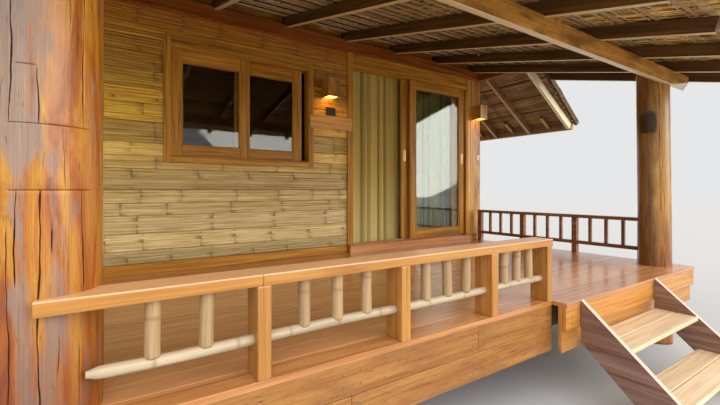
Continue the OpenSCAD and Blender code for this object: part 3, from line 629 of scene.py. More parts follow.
class StiltHouseSizes(bpy.types.PropertyGroup):
    """Sizes of the pieces that dress the frame"""

    slat: bpy.props.FloatProperty(
        name="Bamboo slat", description="Height of one slat of flattened bamboo", default=0.028,
        subtype="DISTANCE", unit="LENGTH"
    )
    culm: bpy.props.FloatProperty(
        name="Flattened culm", description="Mean height of one opened culm", default=0.15, subtype="DISTANCE",
        unit="LENGTH"
    )
    slat_relief: bpy.props.FloatProperty(
        name="Slat relief", description="How far a slat stands out of its grooves", default=0.006,
        subtype="DISTANCE", unit="LENGTH"
    )
    plank: bpy.props.FloatProperty(
        name="Deck plank", description="Width of a deck plank", default=0.138, subtype="DISTANCE",
        unit="LENGTH"
    )
    leaf: bpy.props.FloatProperty(
        name="Palm leaf", description="Width of one blade of palm leaf", default=0.036, subtype="DISTANCE",
        unit="LENGTH"
    )
    course: bpy.props.FloatProperty(
        name="Thatch course", description="Length of leaf that shows in one course", default=0.15,
        subtype="DISTANCE", unit="LENGTH"
    )
    crack: bpy.props.FloatProperty(
        name="Crack depth", description="Depth of the log's drying cracks", default=0.009, subtype="DISTANCE",
        unit="LENGTH"
    )


class StiltHouseColours(bpy.types.PropertyGroup):
    """Colours of the cloth and the stage, in linear light"""

    curtain: bpy.props.FloatVectorProperty(
        name="Curtain", description="Colour of the curtain", size=4, subtype="COLOR",
        default=linear("#C8B05A"), min=0, max=1
    )
    curtain_foot: bpy.props.FloatVectorProperty(
        name="Curtain foot", description="Colour of the curtain's dusty foot", size=4, subtype="COLOR",
        default=linear("#DCCE8C"), min=0, max=1
    )
    floor: bpy.props.FloatVectorProperty(
        name="Floor", description="Colour of the studio floor", size=4, subtype="COLOR",
        default=linear("#C2C3C5"), min=0, max=1
    )
    sky: bpy.props.FloatVectorProperty(
        name="Background", description="Colour behind the house", size=4, subtype="COLOR",
        default=linear("#F1F2F3"), min=0, max=1
    )


FINISHES = {}


def make_finishes(colours):
    """Makes every material once, each named for the real finish."""
    FINISHES.update(
        # Varnished teak of the rails and fascias: bright orange, even, with a soft gloss, and a painted
        # highlight on the faces that look up and along the handrail's front edge
        varnished_teak=sawn_timber(
            "varnished_orange_teak", "#A66828", "#BE8238", "#CE964C", rough=(0.3, 0.44), coat=0.15,
            rim=(2, 0.5, 0.8, "#F0B884"), edge="#F4CCB0"
        ),
        # Fascia planks of the same teak, with open checks and knocks
        fascia_teak=sawn_timber(
            "checked_orange_teak", "#8E5522", "#AB7334", "#B98646", rough=(0.3, 0.46), coat=0.2,
            grime="#94602E", checks=0.8
        ),
        # The same teak under the roof, smoked in patches, with a painted highlight on the faces that look
        # down
        aged_teak=sawn_timber(
            "aged_orange_teak", "#AE6E28", "#D49440", "#E4B05A", rough=(0.3, 0.42), coat=0.2,
            underside="#DEC690", grime="#7C521E", checks=0.5
        ),
        # Deck boards, oiled and then varnished: orange-brown and glossy, with a painted highlight on the
        # front boards
        deck_teak=sawn_timber(
            "glossy_deck_teak", "#AC6C3A", "#CC8A50", "#DCA470", rough=(0.2, 0.34), coat=0.4, relief=0.1,
            edge="#DA9E6C"
        ),
        # Stained teak of the frames: orange-brown, satin
        frame_teak=sawn_timber(
            "brown_stained_teak", "#8E5814", "#C28426", "#DCA43A", rough=(0.42, 0.56), ior=1.38
        ),
        # Wall plates over the openings, redder
        plate_teak=sawn_timber(
            "red_stained_plate", "#74360A", "#A05416", "#BA702A", rough=(0.42, 0.56), ior=1.38, checks=0.4
        ),
        # Pale planed edge of the same teak where the stain is thin
        sash_teak=sawn_timber(
            "thin_stained_teak", "#AE7226", "#D29A3E", "#E4B460", rough=(0.32, 0.46), coat=0.25
        ),
        # Creosoted rafters: nearly black sides, with a painted highlight on the faces that look down
        rafter_wood=sawn_timber(
            "creosoted_rafter_wood", "#3A2408", "#58380E", "#7A521E", along="y",
            turn=(-VERANDA_TURN, 0.0, 0.0), rough=(0.42, 0.6), coat=0.05, underside="#DCC288"
        ),
        # The main roof's rafters, browner where daylight reaches them, with a painted highlight on the faces
        # that look down
        roof_wood=sawn_timber(
            "stained_roof_wood", "#6A4224", "#8E6036", "#AC7E4C", along="x", turn=(0.0, ROOF_TURN, 0.0),
            fold=True, rough=(0.4, 0.58), coat=0.05, underside="#C49A66", ends=(-1.85, 4.19, "#F0E0BC")
        ),
        # Barge and eave boards, weathered to a pale brown
        barge_wood=sawn_timber(
            "weathered_barge_board", "#9C7850", "#C4A074", "#DCC29A", along="y", rough=(0.5, 0.7)
        ),
        # Stringers and side rails: dark red-brown stain, the stringers paler on the faces that do not look
        # sideways
        stringer_wood=sawn_timber(
            "dark_stained_stringer", "#6E4C3E", "#8E6A5A", "#AA8A7A", along="y", rough=(0.4, 0.56), coat=0.1,
            rim=(0, 0.6, 0.3, "#E0C6B4")
        ),
        side_rail_wood=sawn_timber(
            "dark_stained_side_rail", "#6A3C22", "#905C38", "#B48058", along="y", rough=(0.36, 0.52), coat=0.2
        ),
        sill_wood=sawn_timber(
            "varnished_sill_teak", "#9A5420", "#C07632", "#D69248", along="x", rough=(0.2, 0.36), coat=0.4
        ),
        # Treads: worn bare by feet, peach-coloured and dull
        tread_timber=sawn_timber(
            "worn_tread_timber", "#DEB484", "#F4D6AC", "#FAE8CC", rough=(0.4, 0.6), coat=0.08, edge="#EDD6B4"
        ),
        # Stilts and bearers: unpainted hardwood gone grey-brown from rain splash
        stilt_wood=sawn_timber("weathered_hardwood", "#4E3828", "#6E5440", "#8C7460", along="z"),
        bearer_wood=sawn_timber("weathered_bearer_wood", "#4A3424", "#684C36", "#86684C", along="x"),
        joist_wood=sawn_timber("weathered_joist_wood", "#4A3424", "#684C36", "#86684C", along="y"),
        log=log_varnish(
            "varnished_teak_log", [(0.3, "#88461A"), (0.45, "#B4681E"), (0.58, "#C48A2C"), (0.76, "#D4A650")],
            (0.47, 0.61)
        ),
        # The round post: the same wood, smokier, with bolder streaks
        post=log_varnish(
            "smoked_teak_post", [(0.3, "#84521E"), (0.45, "#A8742C"), (0.58, "#C29046"), (0.76, "#D6AC62")],
            (0.6, 0.8), streaks=(0.6, 1.12), coat=0.15
        ),
        bamboo_slats=flattened_bamboo("lacquered_flattened_bamboo"),
        bamboo_backing=flattened_bamboo("flattened_bamboo_backing", "x"),
        bamboo_pole=bamboo_pole_skin("dried_bamboo_pole", tones=("#8A6C46", "#AC8C62", "#C2A880")),
        # The rails at the foot of the balusters, greyer where hands and rain have bleached them
        bamboo_rail=bamboo_pole_skin("bleached_bamboo_rail", tones=("#8E7A62", "#B6A488", "#CCBCA0")),
        batten=bamboo_pole_skin("bamboo_batten", "x", ("#7A5A38", "#A4845A", "#BEA27C")),
        roof_batten=bamboo_pole_skin("roof_bamboo_batten", "y", ("#5E4024", "#7E5C38", "#9A7850")),
        leaf=palm_leaf("dry_palm_leaf", "#5C4226", "#86683E", "#A8895A"),
        woven_leaf=palm_leaf(
            "woven_palm_leaf", "#A87A34", "#E2BC6A", "#FAE49A", painted_inner_shade=(-4.1, -1.6, 0.84), holes=0.92
        ),
        cane=bamboo_pole_skin("split_cane", tones=("#A89068", "#CDB688", "#E2D0A8")),
        # Leaf folded over the roof's laths, browner for the smoke that gathers there
        lath_leaf=palm_leaf("smoked_palm_leaf", "#7A5630", "#AC8450", "#D0AA74"),
        leaf_core=palm_leaf("packed_palm_leaf", "#3E2A18", "#5C4228", "#7A5C3A", "y"),
        glass=clear_glass(),
        brass=satin_brass(),
        curtain=curtain_linen(tuple(colours.curtain), tuple(colours.curtain_foot)),
        rod=painted_metal("dark_brown_rod_paint", "#4A3424", 0.45),
        black_plate=painted_metal("black_enamel", "#2A2420", 0.4),
        bolt=painted_metal("dark_galvanised_steel", "#6A625A", 0.5),
        switch=painted_metal("ivory_switch_plastic", "#E4DDC8", 0.35),
        amber=amber_diffuser(),
    )


# The CAD nodes that stay in sight, by the finish that they get
CAD_NODES = {
    "stilt_wood": ("stilts",),
    "bearer_wood": ("floor_bearers",),
    "joist_wood": ("floor_joists",),
    "varnished_teak": ("side_fascias",),
    "bamboo_backing": (
        "wall_left_of_window", "wall_under_window", "wall_over_window", "walls_beside_door", "side_walls",
        "back_wall", "gable_walls"
    ),
    "glass": ("window_glass", "left_door_glass", "right_door_glass"),
    "brass": ("left_door_pull", "right_door_pull"),
    "rod": ("curtain_rod",),
    "rafter_wood": ("veranda_rafters", "ridge_beam"),
    "roof_wood": ("roof_rafters",),
    "batten": ("veranda_battens",),
    "roof_batten": ("roof_battens",),
    "leaf_core": ("veranda_thatch", "roof_thatch", "ridge_cap"),
    "barge_wood": ("eave_boards",),
    "stringer_wood": ("stair_stringers",),
    "side_rail_wood": ("side_rails",),
    "sill_wood": ("door_sill",),
}


# Walls and decks


def culm_rows(bottom, top, culm, slat, seed):
    """Where the slats lie: their bottoms, tops, the culm that each belongs to and the culms' tones.

    Culm heights are chance numbers round their mean, scaled to fill the height; each culm is split
    into whole slats of nearly equal height.
    """
    chance = rng(seed)
    count = max(int(round((top - bottom) / culm)), 1)
    heights = chance.uniform(0.72, 1.3, count)
    edges = bottom + np.concatenate([[0], np.cumsum(heights)]) / heights.sum() * (top - bottom)
    lows, highs, owners = [], [], []
    for index in range(count):
        parts = max(int(round((edges[index + 1] - edges[index]) / slat)), 1)
        cuts = np.linspace(edges[index], edges[index + 1], parts + 1)
        cuts[1:-1] += chance.uniform(-0.2, 0.2, parts - 1) * slat
        lows.append(cuts[:-1])
        highs.append(cuts[1:])
        owners.append(np.full(parts, index))
    return np.concatenate(lows), np.concatenate(highs), np.concatenate(owners), count


def clad_panel(
    shape, sizes, origin, right, outward, left_edge, right_edge, bottom, top, seed, span, whole=WALL_SPAN
):
    """Covers one upright panel with opened culms, slat by slat.

    Chance is drawn for the whole wall, span wide and whole high, and the panel is cut from it, so
    that the panels round an opening match.

    Across a slat the depth is relief times the square root of 1 - |2v - 1| to the fifth power, a
    low crown with steep sides. Only where two culms meet does it fall to nothing; the splits inside
    a culm are shallow and come and go. Along a slat the depth swells gently and rises by 2 mm at
    each node, in a bell 9 mm wide. left_edge and right_edge give the panel's ends at a height.
    """
    lows, highs, owners, count = culm_rows(whole[0], whole[1], sizes.culm, sizes.slat, seed)
    chance = rng(seed + 1)
    node_gap, node_width, node_rise = 0.45, 0.009, 0.0018
    knots = int((span[1] - span[0]) / node_gap) + 3
    gaps = chance.uniform(0.3, 0.7, (count, knots))
    nodes = span[0] + chance.uniform(-0.4, 0.1, (count, 1)) + np.cumsum(gaps, 1) - 0.3
    slats = len(owners)
    culm_tone = chance.uniform(0.12, 0.92, count)[owners]
    tone = np.clip(culm_tone + chance.uniform(-0.16, 0.16, slats), 0, 1)
    marked = (chance.uniform(0, 1, (slats, 1)) < 0.85) * chance.uniform(0.3, 1.1, (slats, 1))
    shift = chance.uniform(-0.006, 0.006, (slats, 1))
    own = chance.uniform(0.86, 1.0, (slats, 1))
    read_at = chance.uniform(0, 5, (slats, 1, 1))
    keep = (highs > bottom + 0.004) & (lows < top - 0.004)
    owners, tone, marked, shift, own, read_at = (v[keep] for v in (owners, tone, marked, shift, own, read_at))
    whole_lows = lows[keep]
    lows, highs = np.maximum(lows[keep], bottom), np.minimum(highs[keep], top)
    # Points along a slat: at each node, and beside it where the bell of its ring ends
    around = np.array([-0.07, -0.011, 0.0, 0.011, 0.07])
    along = np.sort((nodes[owners][:, :, None] + around).reshape(len(owners), -1), 1)
    ends = np.ones((len(owners), 1))
    along = np.concatenate([ends * (span[0] - 1), along, ends * (span[1] + 1)], 1)
    first = np.nonzero((along <= min(left_edge(bottom), left_edge(top))).all(0))[0][-1]
    last = np.nonzero((along >= max(right_edge(bottom), right_edge(top))).all(0))[0][0]
    along = along[:, first : last + 1]
    ends_low, ends_high = left_edge(lows), right_edge(lows)
    narrow_low, narrow_high = left_edge(highs), right_edge(highs)
    v = np.array([0.0, 0.1, 0.5, 0.9, 1.0])
    z = lows[:, None] + (highs - lows)[:, None] * v
    z_grid = np.repeat(z[:, :, None], along.shape[1], 2)
    wave = swell(seed + 2, 5, along / 0.5, whole_lows[:, None] * 9) * 0.0012
    z_grid = z_grid + wave[:, None, :] * (v * (1 - v) * 4)[None, :, None]
    near = ends_low[:, None] + (narrow_low - ends_low)[:, None] * v
    far = ends_high[:, None] + (narrow_high - ends_high)[:, None] * v
    x_grid = np.clip(along[:, None, :], near[:, :, None], far[:, :, None])
    reach = np.abs(along[:, :, None] - nodes[owners][:, None, :] - shift[:, :, None]).min(2)
    bell = np.exp(-((reach / node_width) ** 2))
    crown = np.sqrt(np.clip(1 - np.abs(2 * v - 1) ** 5, 0, 1))
    opened = ease(0.5 + 0.9 * swell(seed + 4, 5, along / 0.16, whole_lows[:, None] * 23))
    below = np.concatenate([[True], owners[1:] != owners[:-1]])[:, None]
    above = np.concatenate([owners[1:] != owners[:-1], [True]])[:, None]
    shut_low = np.where(below, 0.0, 0.95 - 0.55 * opened)
    shut_high = np.where(above, 0.0, 0.95 - 0.55 * np.roll(opened, -1, 0))
    shut = np.where((v < 0.5)[None, :, None], shut_low[:, None, :], shut_high[:, None, :])
    crown = shut + (1 - shut) * crown[None, :, None]
    lift = 1 + swell(seed + 3, 5, along / 0.3, whole_lows[:, None] * 17) * 0.14
    depth = sizes.slat_relief * crown * (lift * own)[:, None, :]
    depth = depth + node_rise * bell[:, None, :] * crown
    points = np.asarray(origin)[None, None, None] + np.asarray(right) * x_grid[..., None]
    points = points + np.asarray(outward) * depth[..., None] + np.array([0, 0, 1.0]) * z_grid[..., None]
    band = 0.95 * bell * marked
    # Painted shade darkens the grooves where culms meet, the more the deeper they open; the bands at the
    # nodes are the bamboo's own colour
    groove = np.array([1.0, 0.07, 0, 0.07, 1.0])
    dark = np.maximum(band[:, None, :], groove[None, :, None] * np.clip(0.95 - 1.35 * shut, 0, 0.9))
    shape.add(
        points, paired(x_grid + read_at, z_grid), shade=tone, wear=dark,
        flip=np.cross(right, (0, 0, 1)) @ np.asarray(outward) > 0
    )


def straight(value):
    """An upright edge at one place, whatever the height."""
    return lambda z: np.full(np.shape(z), value) if np.ndim(z) else value


class STILT_HOUSE_OT_walls(bpy.types.Operator):
    """Clads every wall and gable with flattened bamboo"""

    bl_idname = "stilt_house.walls"
    bl_label = "Bamboo walls"

    def execute(self, context):
        sizes = context.scene.stilt_house_sizes
        front_y = low("wall_left_of_window")[1]
        left, right = low("wall_left_of_window")[0], high("walls_beside_door")[0]
        foot, head = low("wall_left_of_window")[2], high("wall_left_of_window")[2]
        window_l, window_r = low("window_frame")[0], high("window_frame")[0]
        door_l, door_r = low("door_frame")[0], high("door_frame")[0]
        window_foot, window_head = low("window_frame")[2], high("window_frame")[2]
        front = Shape()
        for a, b, c, d in (
            (left, door_l, foot, window_foot),
            (left, door_l, window_head, head),
            (left, window_l, window_foot, window_head),
            (window_r, door_l, window_foot, window_head),
        ):
            clad_panel(
                front, sizes, (0, front_y, 0), (1, 0, 0), (0, -1, 0), straight(a), straight(b), c, d, 11,
                (left, door_l)
            )
        front.piece("front_wall_slats", "bamboo_slats")
        boards = Shape()
        middle = (door_r + right) / 2
        for a, b, seed in ((door_r + JOINT, middle - JOINT, 71), (middle + JOINT, right - JOINT, 72)):
            bar(
                boards, (a, front_y - 0.012, foot), (b, front_y - PROUD, head), "z", 0.002, seed, rows=20,
                shade=0.62
            )
        boards.piece("door_side_boards", "sash_teak")
        near, far = low("side_walls")[1], high("side_walls")[1]
        for side, name, seed in ((-1, "left", 21), (1, "right", 31)):
            wall = Shape()
            x = low("side_walls")[0] if side < 0 else high("side_walls")[0]
            clad_panel(
                wall, sizes, (x, 0, 0), (0, 1, 0), (side, 0, 0), straight(near), straight(far), foot, head,
                seed, (near, far)
            )
            wall.piece(f"{name}_wall_slats", "bamboo_slats")
        back = Shape()
        back_y = high("back_wall")[1]
        clad_panel(
            back, sizes, (0, back_y, 0), (1, 0, 0), (0, 1, 0), straight(left), straight(right), foot, head,
            41, (left, right)
        )
        back.piece("back_wall_slats", "bamboo_slats")
        bottom, half = low("gable_walls")[2], high("gable_walls")[0]
        rise = np.tan(ROOF_PITCH)
        # The gable's point lies under the ridge's thatch
        peak = high("ridge_beam")[2] + 0.052
        for side, name, seed in ((-1, "front", 51), (1, "back", 61)):
            gable = Shape()
            y = low("gable_walls")[1] if side < 0 else high("gable_walls")[1]

            def half_at(z):
                return np.minimum(half, np.maximum((peak - z) / rise, 0.002))

            clad_panel(
                gable, sizes, (0, y, 0), (1, 0, 0), (0, side, 0), lambda z: -half_at(z), half_at, bottom,
                peak - 0.09, seed, (-half, half), (bottom, peak - 0.05)
            )
            gable.piece(f"{name}_gable_slats", "bamboo_slats")
        return {"FINISHED"}


def planks(shape, start, end, near, far, bottom, top, width, seed, notch=None):
    """Lays planks along X from near to far: whole boards with 1.5 mm seams and staggered joints."""
    count = max(int(round((far - near) / width)), 1)
    edges = np.linspace(near, far, count + 1)
    chance = rng(seed)
    # The boards at the front are painted paler: a painted highlight for the daylight that reaches them past
    # the roof
    painted_front_light = np.zeros(count)
    painted_front_light[:4] = (0.0, 0.8, 0.7, 0.3)
    for index in range(count):
        first = start
        if notch and edges[index] < notch[1]:
            first = notch[0]
        cut = first + (end - first) * chance.uniform(0.35, 0.75)
        for a, b in ((first, cut - 0.0008), (cut + 0.0008, end)):
            bar(
                shape, (a, edges[index] + 0.0006, bottom), (b, edges[index + 1] - 0.0006, top), "x", 0.0014,
                seed + index * 3, rows=8, bow=0.0001, shade=chance.uniform(0.3, 0.7), wear=painted_front_light[index]
            )


class STILT_HOUSE_OT_decks(bpy.types.Operator):
    """Lays the veranda's and the room's boards, plank by plank"""

    bl_idname = "stilt_house.decks"
    bl_label = "Deck and floor boards"

    def execute(self, context):
        width = context.scene.stilt_house_sizes.plank
        a, b = corners_of("deck")
        front = low("front_fascia")[1] - FASCIA_SET
        deck = Shape()
        log_side = low("front_fascia")[0]
        planks(
            deck, a[0], b[0], front, b[1], a[2], b[2], width, 101, notch=(log_side, low("log_post")[1] + 0.2)
        )
        entry = high("front_fascia")[0] + JOINT
        bar(deck, (entry, a[1], a[2]), (b[0], front - 0.0009, b[2]), "x", 0.0025, 131, rows=16, shade=0.55)
        deck.piece("deck_planks", "deck_teak", "deck")
        a, b = corners_of("room_floor")
        floor = Shape()
        planks(floor, a[0], b[0], a[1], b[1], a[2], b[2], width, 151)
        floor.piece("room_floor_planks", "deck_teak", "room_floor")
        return {"FINISHED"}


# Timber frames, doors and railing


class STILT_HOUSE_OT_frame_timbers(bpy.types.Operator):
    """Makes the posts, plates, sills, beam and fascias, board by board"""

    bl_idname = "stilt_house.frame_timbers"
    bl_label = "Posts, plates and fascias"

    def execute(self, context):
        a, b = corners_of("corner_posts")
        posts = Shape()
        side = 0.15
        for index, (sx, sy) in enumerate(((0, 0), (1, 0), (0, 1), (1, 1))):
            x0 = a[0] if sx == 0 else b[0] - side
            y0 = a[1] if sy == 0 else b[1] - side
            bar(
                posts, (x0, y0, a[2]), (x0 + side, y0 + side, b[2]), "z", 0.005, 200 + index, rows=20,
                bow=0.0012
            )
        posts.piece("corner_post_timbers", "aged_teak", "corner_posts")

        beam = Shape()
        a, b = corners_of("front_beam")
        bar(beam, a, b, "x", 0.006, 210, rows=60, bow=0.003, shade=0.5)
        # Its right end is dressed on a slant: the lower front edge rises over the last stretch
        slant_length, slant_rise = 0.42, 0.095
        points = beam.points[0]
        slant = np.clip((points[:, 0] - b[0] + slant_length) / slant_length, 0, 1)
        front, under = (b[1] - points[:, 1]) / (b[1] - a[1]), (b[2] - points[:, 2]) / (b[2] - a[2])
        points[:, 2] += slant_rise * slant * front * under
        beam.piece("front_beam_timber", "aged_teak", "front_beam")

        plates = Shape()
        pa, pb = corners_of("wall_plates")
        depth, height, proud = 0.075, 0.095, 0.053
        top = pa[2] + height
        for x0 in (pa[0], pb[0] - depth):
            bar(plates, (x0, pa[1], pa[2]), (x0 + depth, pb[1], top), "y", 0.004, 220 + int(x0 * 10), rows=30)
        cross = (low("walls_beside_door")[1] - proud, high("walls_beside_door")[1] + 0.01)
        bar(
            plates, (pa[0] + depth + JOINT, cross[0], pa[2]), (pb[0] - depth - JOINT, cross[1], pb[2]), "x",
            0.004, 230, rows=40
        )
        back = (low("back_wall")[1] - 0.01, high("back_wall")[1] + proud)
        bar(
            plates, (pa[0] + depth + JOINT, back[0], pa[2]), (pb[0] - depth - JOINT, back[1], pb[2]), "x",
            0.004, 231, rows=40
        )
        plates.piece("wall_plate_timbers", "plate_teak", "wall_plates")

        sills = Shape()
        sa, sb = corners_of("wall_sills")
        inner = 0.13
        door_l, door_r = low("door_frame")[0] - JOINT, high("door_frame")[0] + JOINT
        bar(sills, sa, (door_l, sa[1] + inner, sb[2]), "x", 0.004, 240, rows=20)
        bar(sills, (door_r, sa[1], sa[2]), (sb[0], sa[1] + inner, sb[2]), "x", 0.004, 241)
        bar(sills, (sa[0], sb[1] - inner, sa[2]), sb, "x", 0.004, 242, rows=30)
        for x0 in (sa[0], sb[0] - inner):
            bar(
                sills, (x0, sa[1] + inner, sa[2]), (x0 + inner, sb[1] - inner, sb[2]), "y", 0.004, 243,
                rows=30
            )
        sills.piece("wall_sill_timbers", "frame_teak", "wall_sills")

        fascias = Shape()
        fa, fb = corners_of("front_fascia")
        middle = (fa[2] + fb[2]) / 2
        joint = -0.45
        for bottom, top, seed in ((fa[2], middle - JOINT, 250), (middle + JOINT, fb[2], 260)):
            cut = joint if seed == 260 else joint - 0.9
            bar(
                fascias, (fa[0], fa[1], bottom), (cut - JOINT, fb[1], top), "x", 0.003, seed, rows=24,
                shade=0.5
            )
            bar(
                fascias, (cut + JOINT, fa[1], bottom), (fb[0], fb[1], top), "x", 0.003, seed + 1, rows=12,
                shade=0.45
            )
        heads = Shape()
        front = fa[1] - PROUD
        across = [fa[0] + 0.06, joint - 0.95, joint - 0.85, joint - 0.05, joint + 0.05, fb[0] - 0.06]
        places = [
            (x, front, z) for x in across for z in (fa[2] + 0.05, middle - 0.05, middle + 0.05, fb[2] - 0.05)
        ]
        screw_heads(heads, places, 0.0055)
        fascias.piece("front_fascia_boards", "fascia_teak", "front_fascia")
        entry = Shape()
        ea, eb = corners_of("entry_fascia")
        thick, lower = 0.03, 0.16
        bar(
            entry, (ea[0], ea[1], ea[2] + lower), (eb[0], ea[1] + thick, eb[2]), "x", 0.003, 270, rows=20,
            shade=0.85
        )
        bar(entry, (ea[0], ea[1] + thick, ea[2]), eb, "x", 0.003, 271, rows=20, shade=0.6)
        places = [
            (x, ea[1] - PROUD, z) for x in (ea[0] + 0.07, eb[0] - 0.07) for z in (ea[2] + 0.2, eb[2] - 0.06)
        ]
        screw_heads(heads, places, 0.0065)
        heads.piece("fascia_bolts", "bolt")
        entry.piece("entry_fascia_boards", "varnished_teak", "entry_fascia")
        return {"FINISHED"}


def framed_leaf(shape, lowest, highest, stile, top_rail, bottom_rail, seed, corner=0.003, groove=0.0006):
    """A door or sash: two upright stiles and two rails let in between them with hairline joints."""
    x0, y0, z0 = lowest
    x1, y1, z1 = highest
    bar(shape, (x0, y0, z0), (x0 + stile, y1, z1), "z", corner, seed, rows=16)
    bar(shape, (x1 - stile, y0, z0), (x1, y1, z1), "z", corner, seed + 1, rows=16)
    bar(shape, (x0 + stile + groove, y0, z1 - top_rail), (x1 - stile - groove, y1, z1), "x", corner, seed + 2)
    bar(
        shape, (x0 + stile + groove, y0, z0), (x1 - stile - groove, y1, z0 + bottom_rail), "x", corner,
        seed + 3
    )


# Width of a glazing bead
BEAD = 0.012


def glazing_beads(shape, glass_low, glass_high, front, seed):
    """Four slim beads with quarter-round faces that hold a pane on its front side."""
    x0, _, z0 = glass_low
    x1, _, z1 = glass_high
    for a, b, along in (
        ((x0, 0, z0), (x0 + BEAD, 0, z1), "z"),
        ((x1 - BEAD, 0, z0), (x1, 0, z1), "z"),
        ((x0 + BEAD, 0, z0), (x1 - BEAD, 0, z0 + BEAD), "x"),
        ((x0 + BEAD, 0, z1 - BEAD), (x1 - BEAD, 0, z1), "x"),
    ):
        bar(shape, (a[0], front, a[2]), (b[0], front + BEAD, b[2]), along, 0.005, seed, rows=3, bow=0.0)


class STILT_HOUSE_OT_joinery(bpy.types.Operator):
    """Makes the window, the door frame and both sliding leaves with their joints and beads"""

    bl_idname = "stilt_house.joinery"
    bl_label = "Window and sliding doors"

    def execute(self, context):
        for side, seed in (("left", 300), ("right", 320)):
            node = f"{side}_door_leaf"
            a, b = corners_of(node)
            roller, bottom_rail, wheel = a[2], 0.111, 0.014
            pane_a, pane_b = corners_of(f"{side}_door_glass")
            a[2] = pane_a[2] - bottom_rail
            leaf = Shape()
            framed_leaf(leaf, a, b, pane_a[0] - a[0], b[2] - pane_b[2], bottom_rail, seed)
            for front in (pane_a[1] - BEAD, pane_b[1]):
                glazing_beads(leaf, pane_a, pane_b, front, seed + 9)
            for x in (a[0] + 0.16, b[0] - 0.16):
                middle = (a[1] + b[1]) / 2
                tube(leaf, [(x, middle + y, roller + wheel) for y in (-0.008, 0.008)], wheel, 24)
            leaf.piece(f"{side}_leaf_joinery", "frame_teak", node, f"{side}_leaf")
        a, b = corners_of("door_frame")
        door = Shape()
        # The left jamb is the wider one, because the leaf runs into it
        in_l, in_r, head = a[0] + 0.081, b[0] - 0.046, high("left_door_leaf")[2] + 0.005
        bar(door, a, (in_l, b[1], b[2]), "z", 0.004, 340, rows=24)
        bar(door, (in_r, a[1], a[2]), b, "z", 0.004, 341, rows=24)
        bar(door, (in_l + JOINT, a[1], head), (in_r - JOINT, b[1], b[2]), "x", 0.004, 342, rows=24)
        door.piece("door_frame_timbers", "frame_teak", "door_frame")

        wa, wb = corners_of("window_frame")
        sa, sb = corners_of("window_sashes")
        window = Shape()
        side = 0.065
        in_l, in_r = wa[0] + side, wb[0] - side
        bar(window, wa, (in_l, wb[1], wb[2]), "z", 0.004, 360, rows=16)
        bar(window, (in_r, wa[1], wa[2]), wb, "z", 0.004, 361, rows=16)
        bar(window, (in_l, wa[1], wa[2]), (in_r, wb[1], wa[2] + side), "x", 0.004, 362, rows=16)
        bar(window, (in_l, wa[1], sb[2] - 0.006), (in_r, wb[1], wb[2]), "x", 0.004, 363, rows=16)
        window.piece("window_frame_timbers", "frame_teak", "window_frame")
        sashes = Shape()
        width, thick, stile, rails = 0.791, 0.034, 0.105, (0.131, 0.113)
        front, back = sa[1], sb[1] - thick
        framed_leaf(sashes, (in_l, front, sa[2]), (in_l + width, front + thick, sb[2]), stile, *rails, 370)
        framed_leaf(sashes, (sb[0] - width, back, sa[2]), (sb[0], sb[1], sb[2]), stile, *rails, 380)
        pane_low, pane_high = corners_of("window_glass")
        for x, y in ((in_l, front), (sb[0] - width, back)):
            a = np.array([x + stile, 0, pane_low[2]])
            b = np.array([x + width - stile, 0, pane_high[2]])
            glazing_beads(sashes, a, b, y + 0.002, 390)
        sashes.piece("window_sash_joinery", "frame_teak", "window_sashes")
        return {"FINISHED"}


def pole_radius(length, radius, nodes, seed, rows):
    """Radius and node mark along a bamboo pole.

    The radius tapers by 3%, wanders by 1% and rises by 2% in a bell 7 mm wide at each node; the
    mark is the same bell.
    """
    around = np.array([-0.012, -0.005, 0, 0.005, 0.012])
    u = np.concatenate([np.linspace(0, length, rows), *(node + around for node in nodes)])
    u = np.unique(np.concatenate([np.clip(u, 0, length), [0.004, 0.014, 0.026, 0.04, length - 0.004]]))
    reach = np.min(np.abs(u[:, None] - np.asarray(nodes)[None]), 1) if len(nodes) else np.full(len(u), 9.0)
    bell = np.exp(-((reach / 0.007) ** 2))
    r = radius * (1 - 0.03 * u / length + 0.01 * swell(seed, 3, u / 0.15) - 0.01 + 0.025 * bell)
    return u, r, bell


def bamboo_stick(shape, start, end, radius, seed, bend=0.002, whittled=0.0):
    """A bamboo pole between two points: it bows a little, and its ends are cut square and worn.

    whittled is how much of the radius is cut away at the start, on a bell 26 mm wide.
    """
    start, end = np.asarray(start, float), np.asarray(end, float)
    length = np.linalg.norm(end - start)
    way = (end - start) / length
    chance = rng(seed)
    gap = 0.27
    nodes = np.arange(chance.uniform(0.3, 0.9) * gap, length - 0.02, gap * chance.uniform(0.85, 1.15))
    u, r, bell = pole_radius(length, radius, nodes, seed, max(int(length / 0.05), 5))
    aside = np.cross(way, chance.normal(size=3))
    aside /= np.linalg.norm(aside)
    path = start + way * u[:, None] + aside * (bend * np.sin(np.pi * u / length))[:, None]
    r = r * (1 - 0.05 * np.exp(-(u / 0.003) ** 2) - 0.05 * np.exp(-((length - u) / 0.003) ** 2))
    r = r * (1 - whittled * np.exp(-((u / 0.026) ** 2)))
    tube(
        shape, path, r, 18, shade=chance.uniform(0.2, 0.9), wear=bell[:, None] * 0.5,
        uv_start=chance.uniform(0, 8)
    )


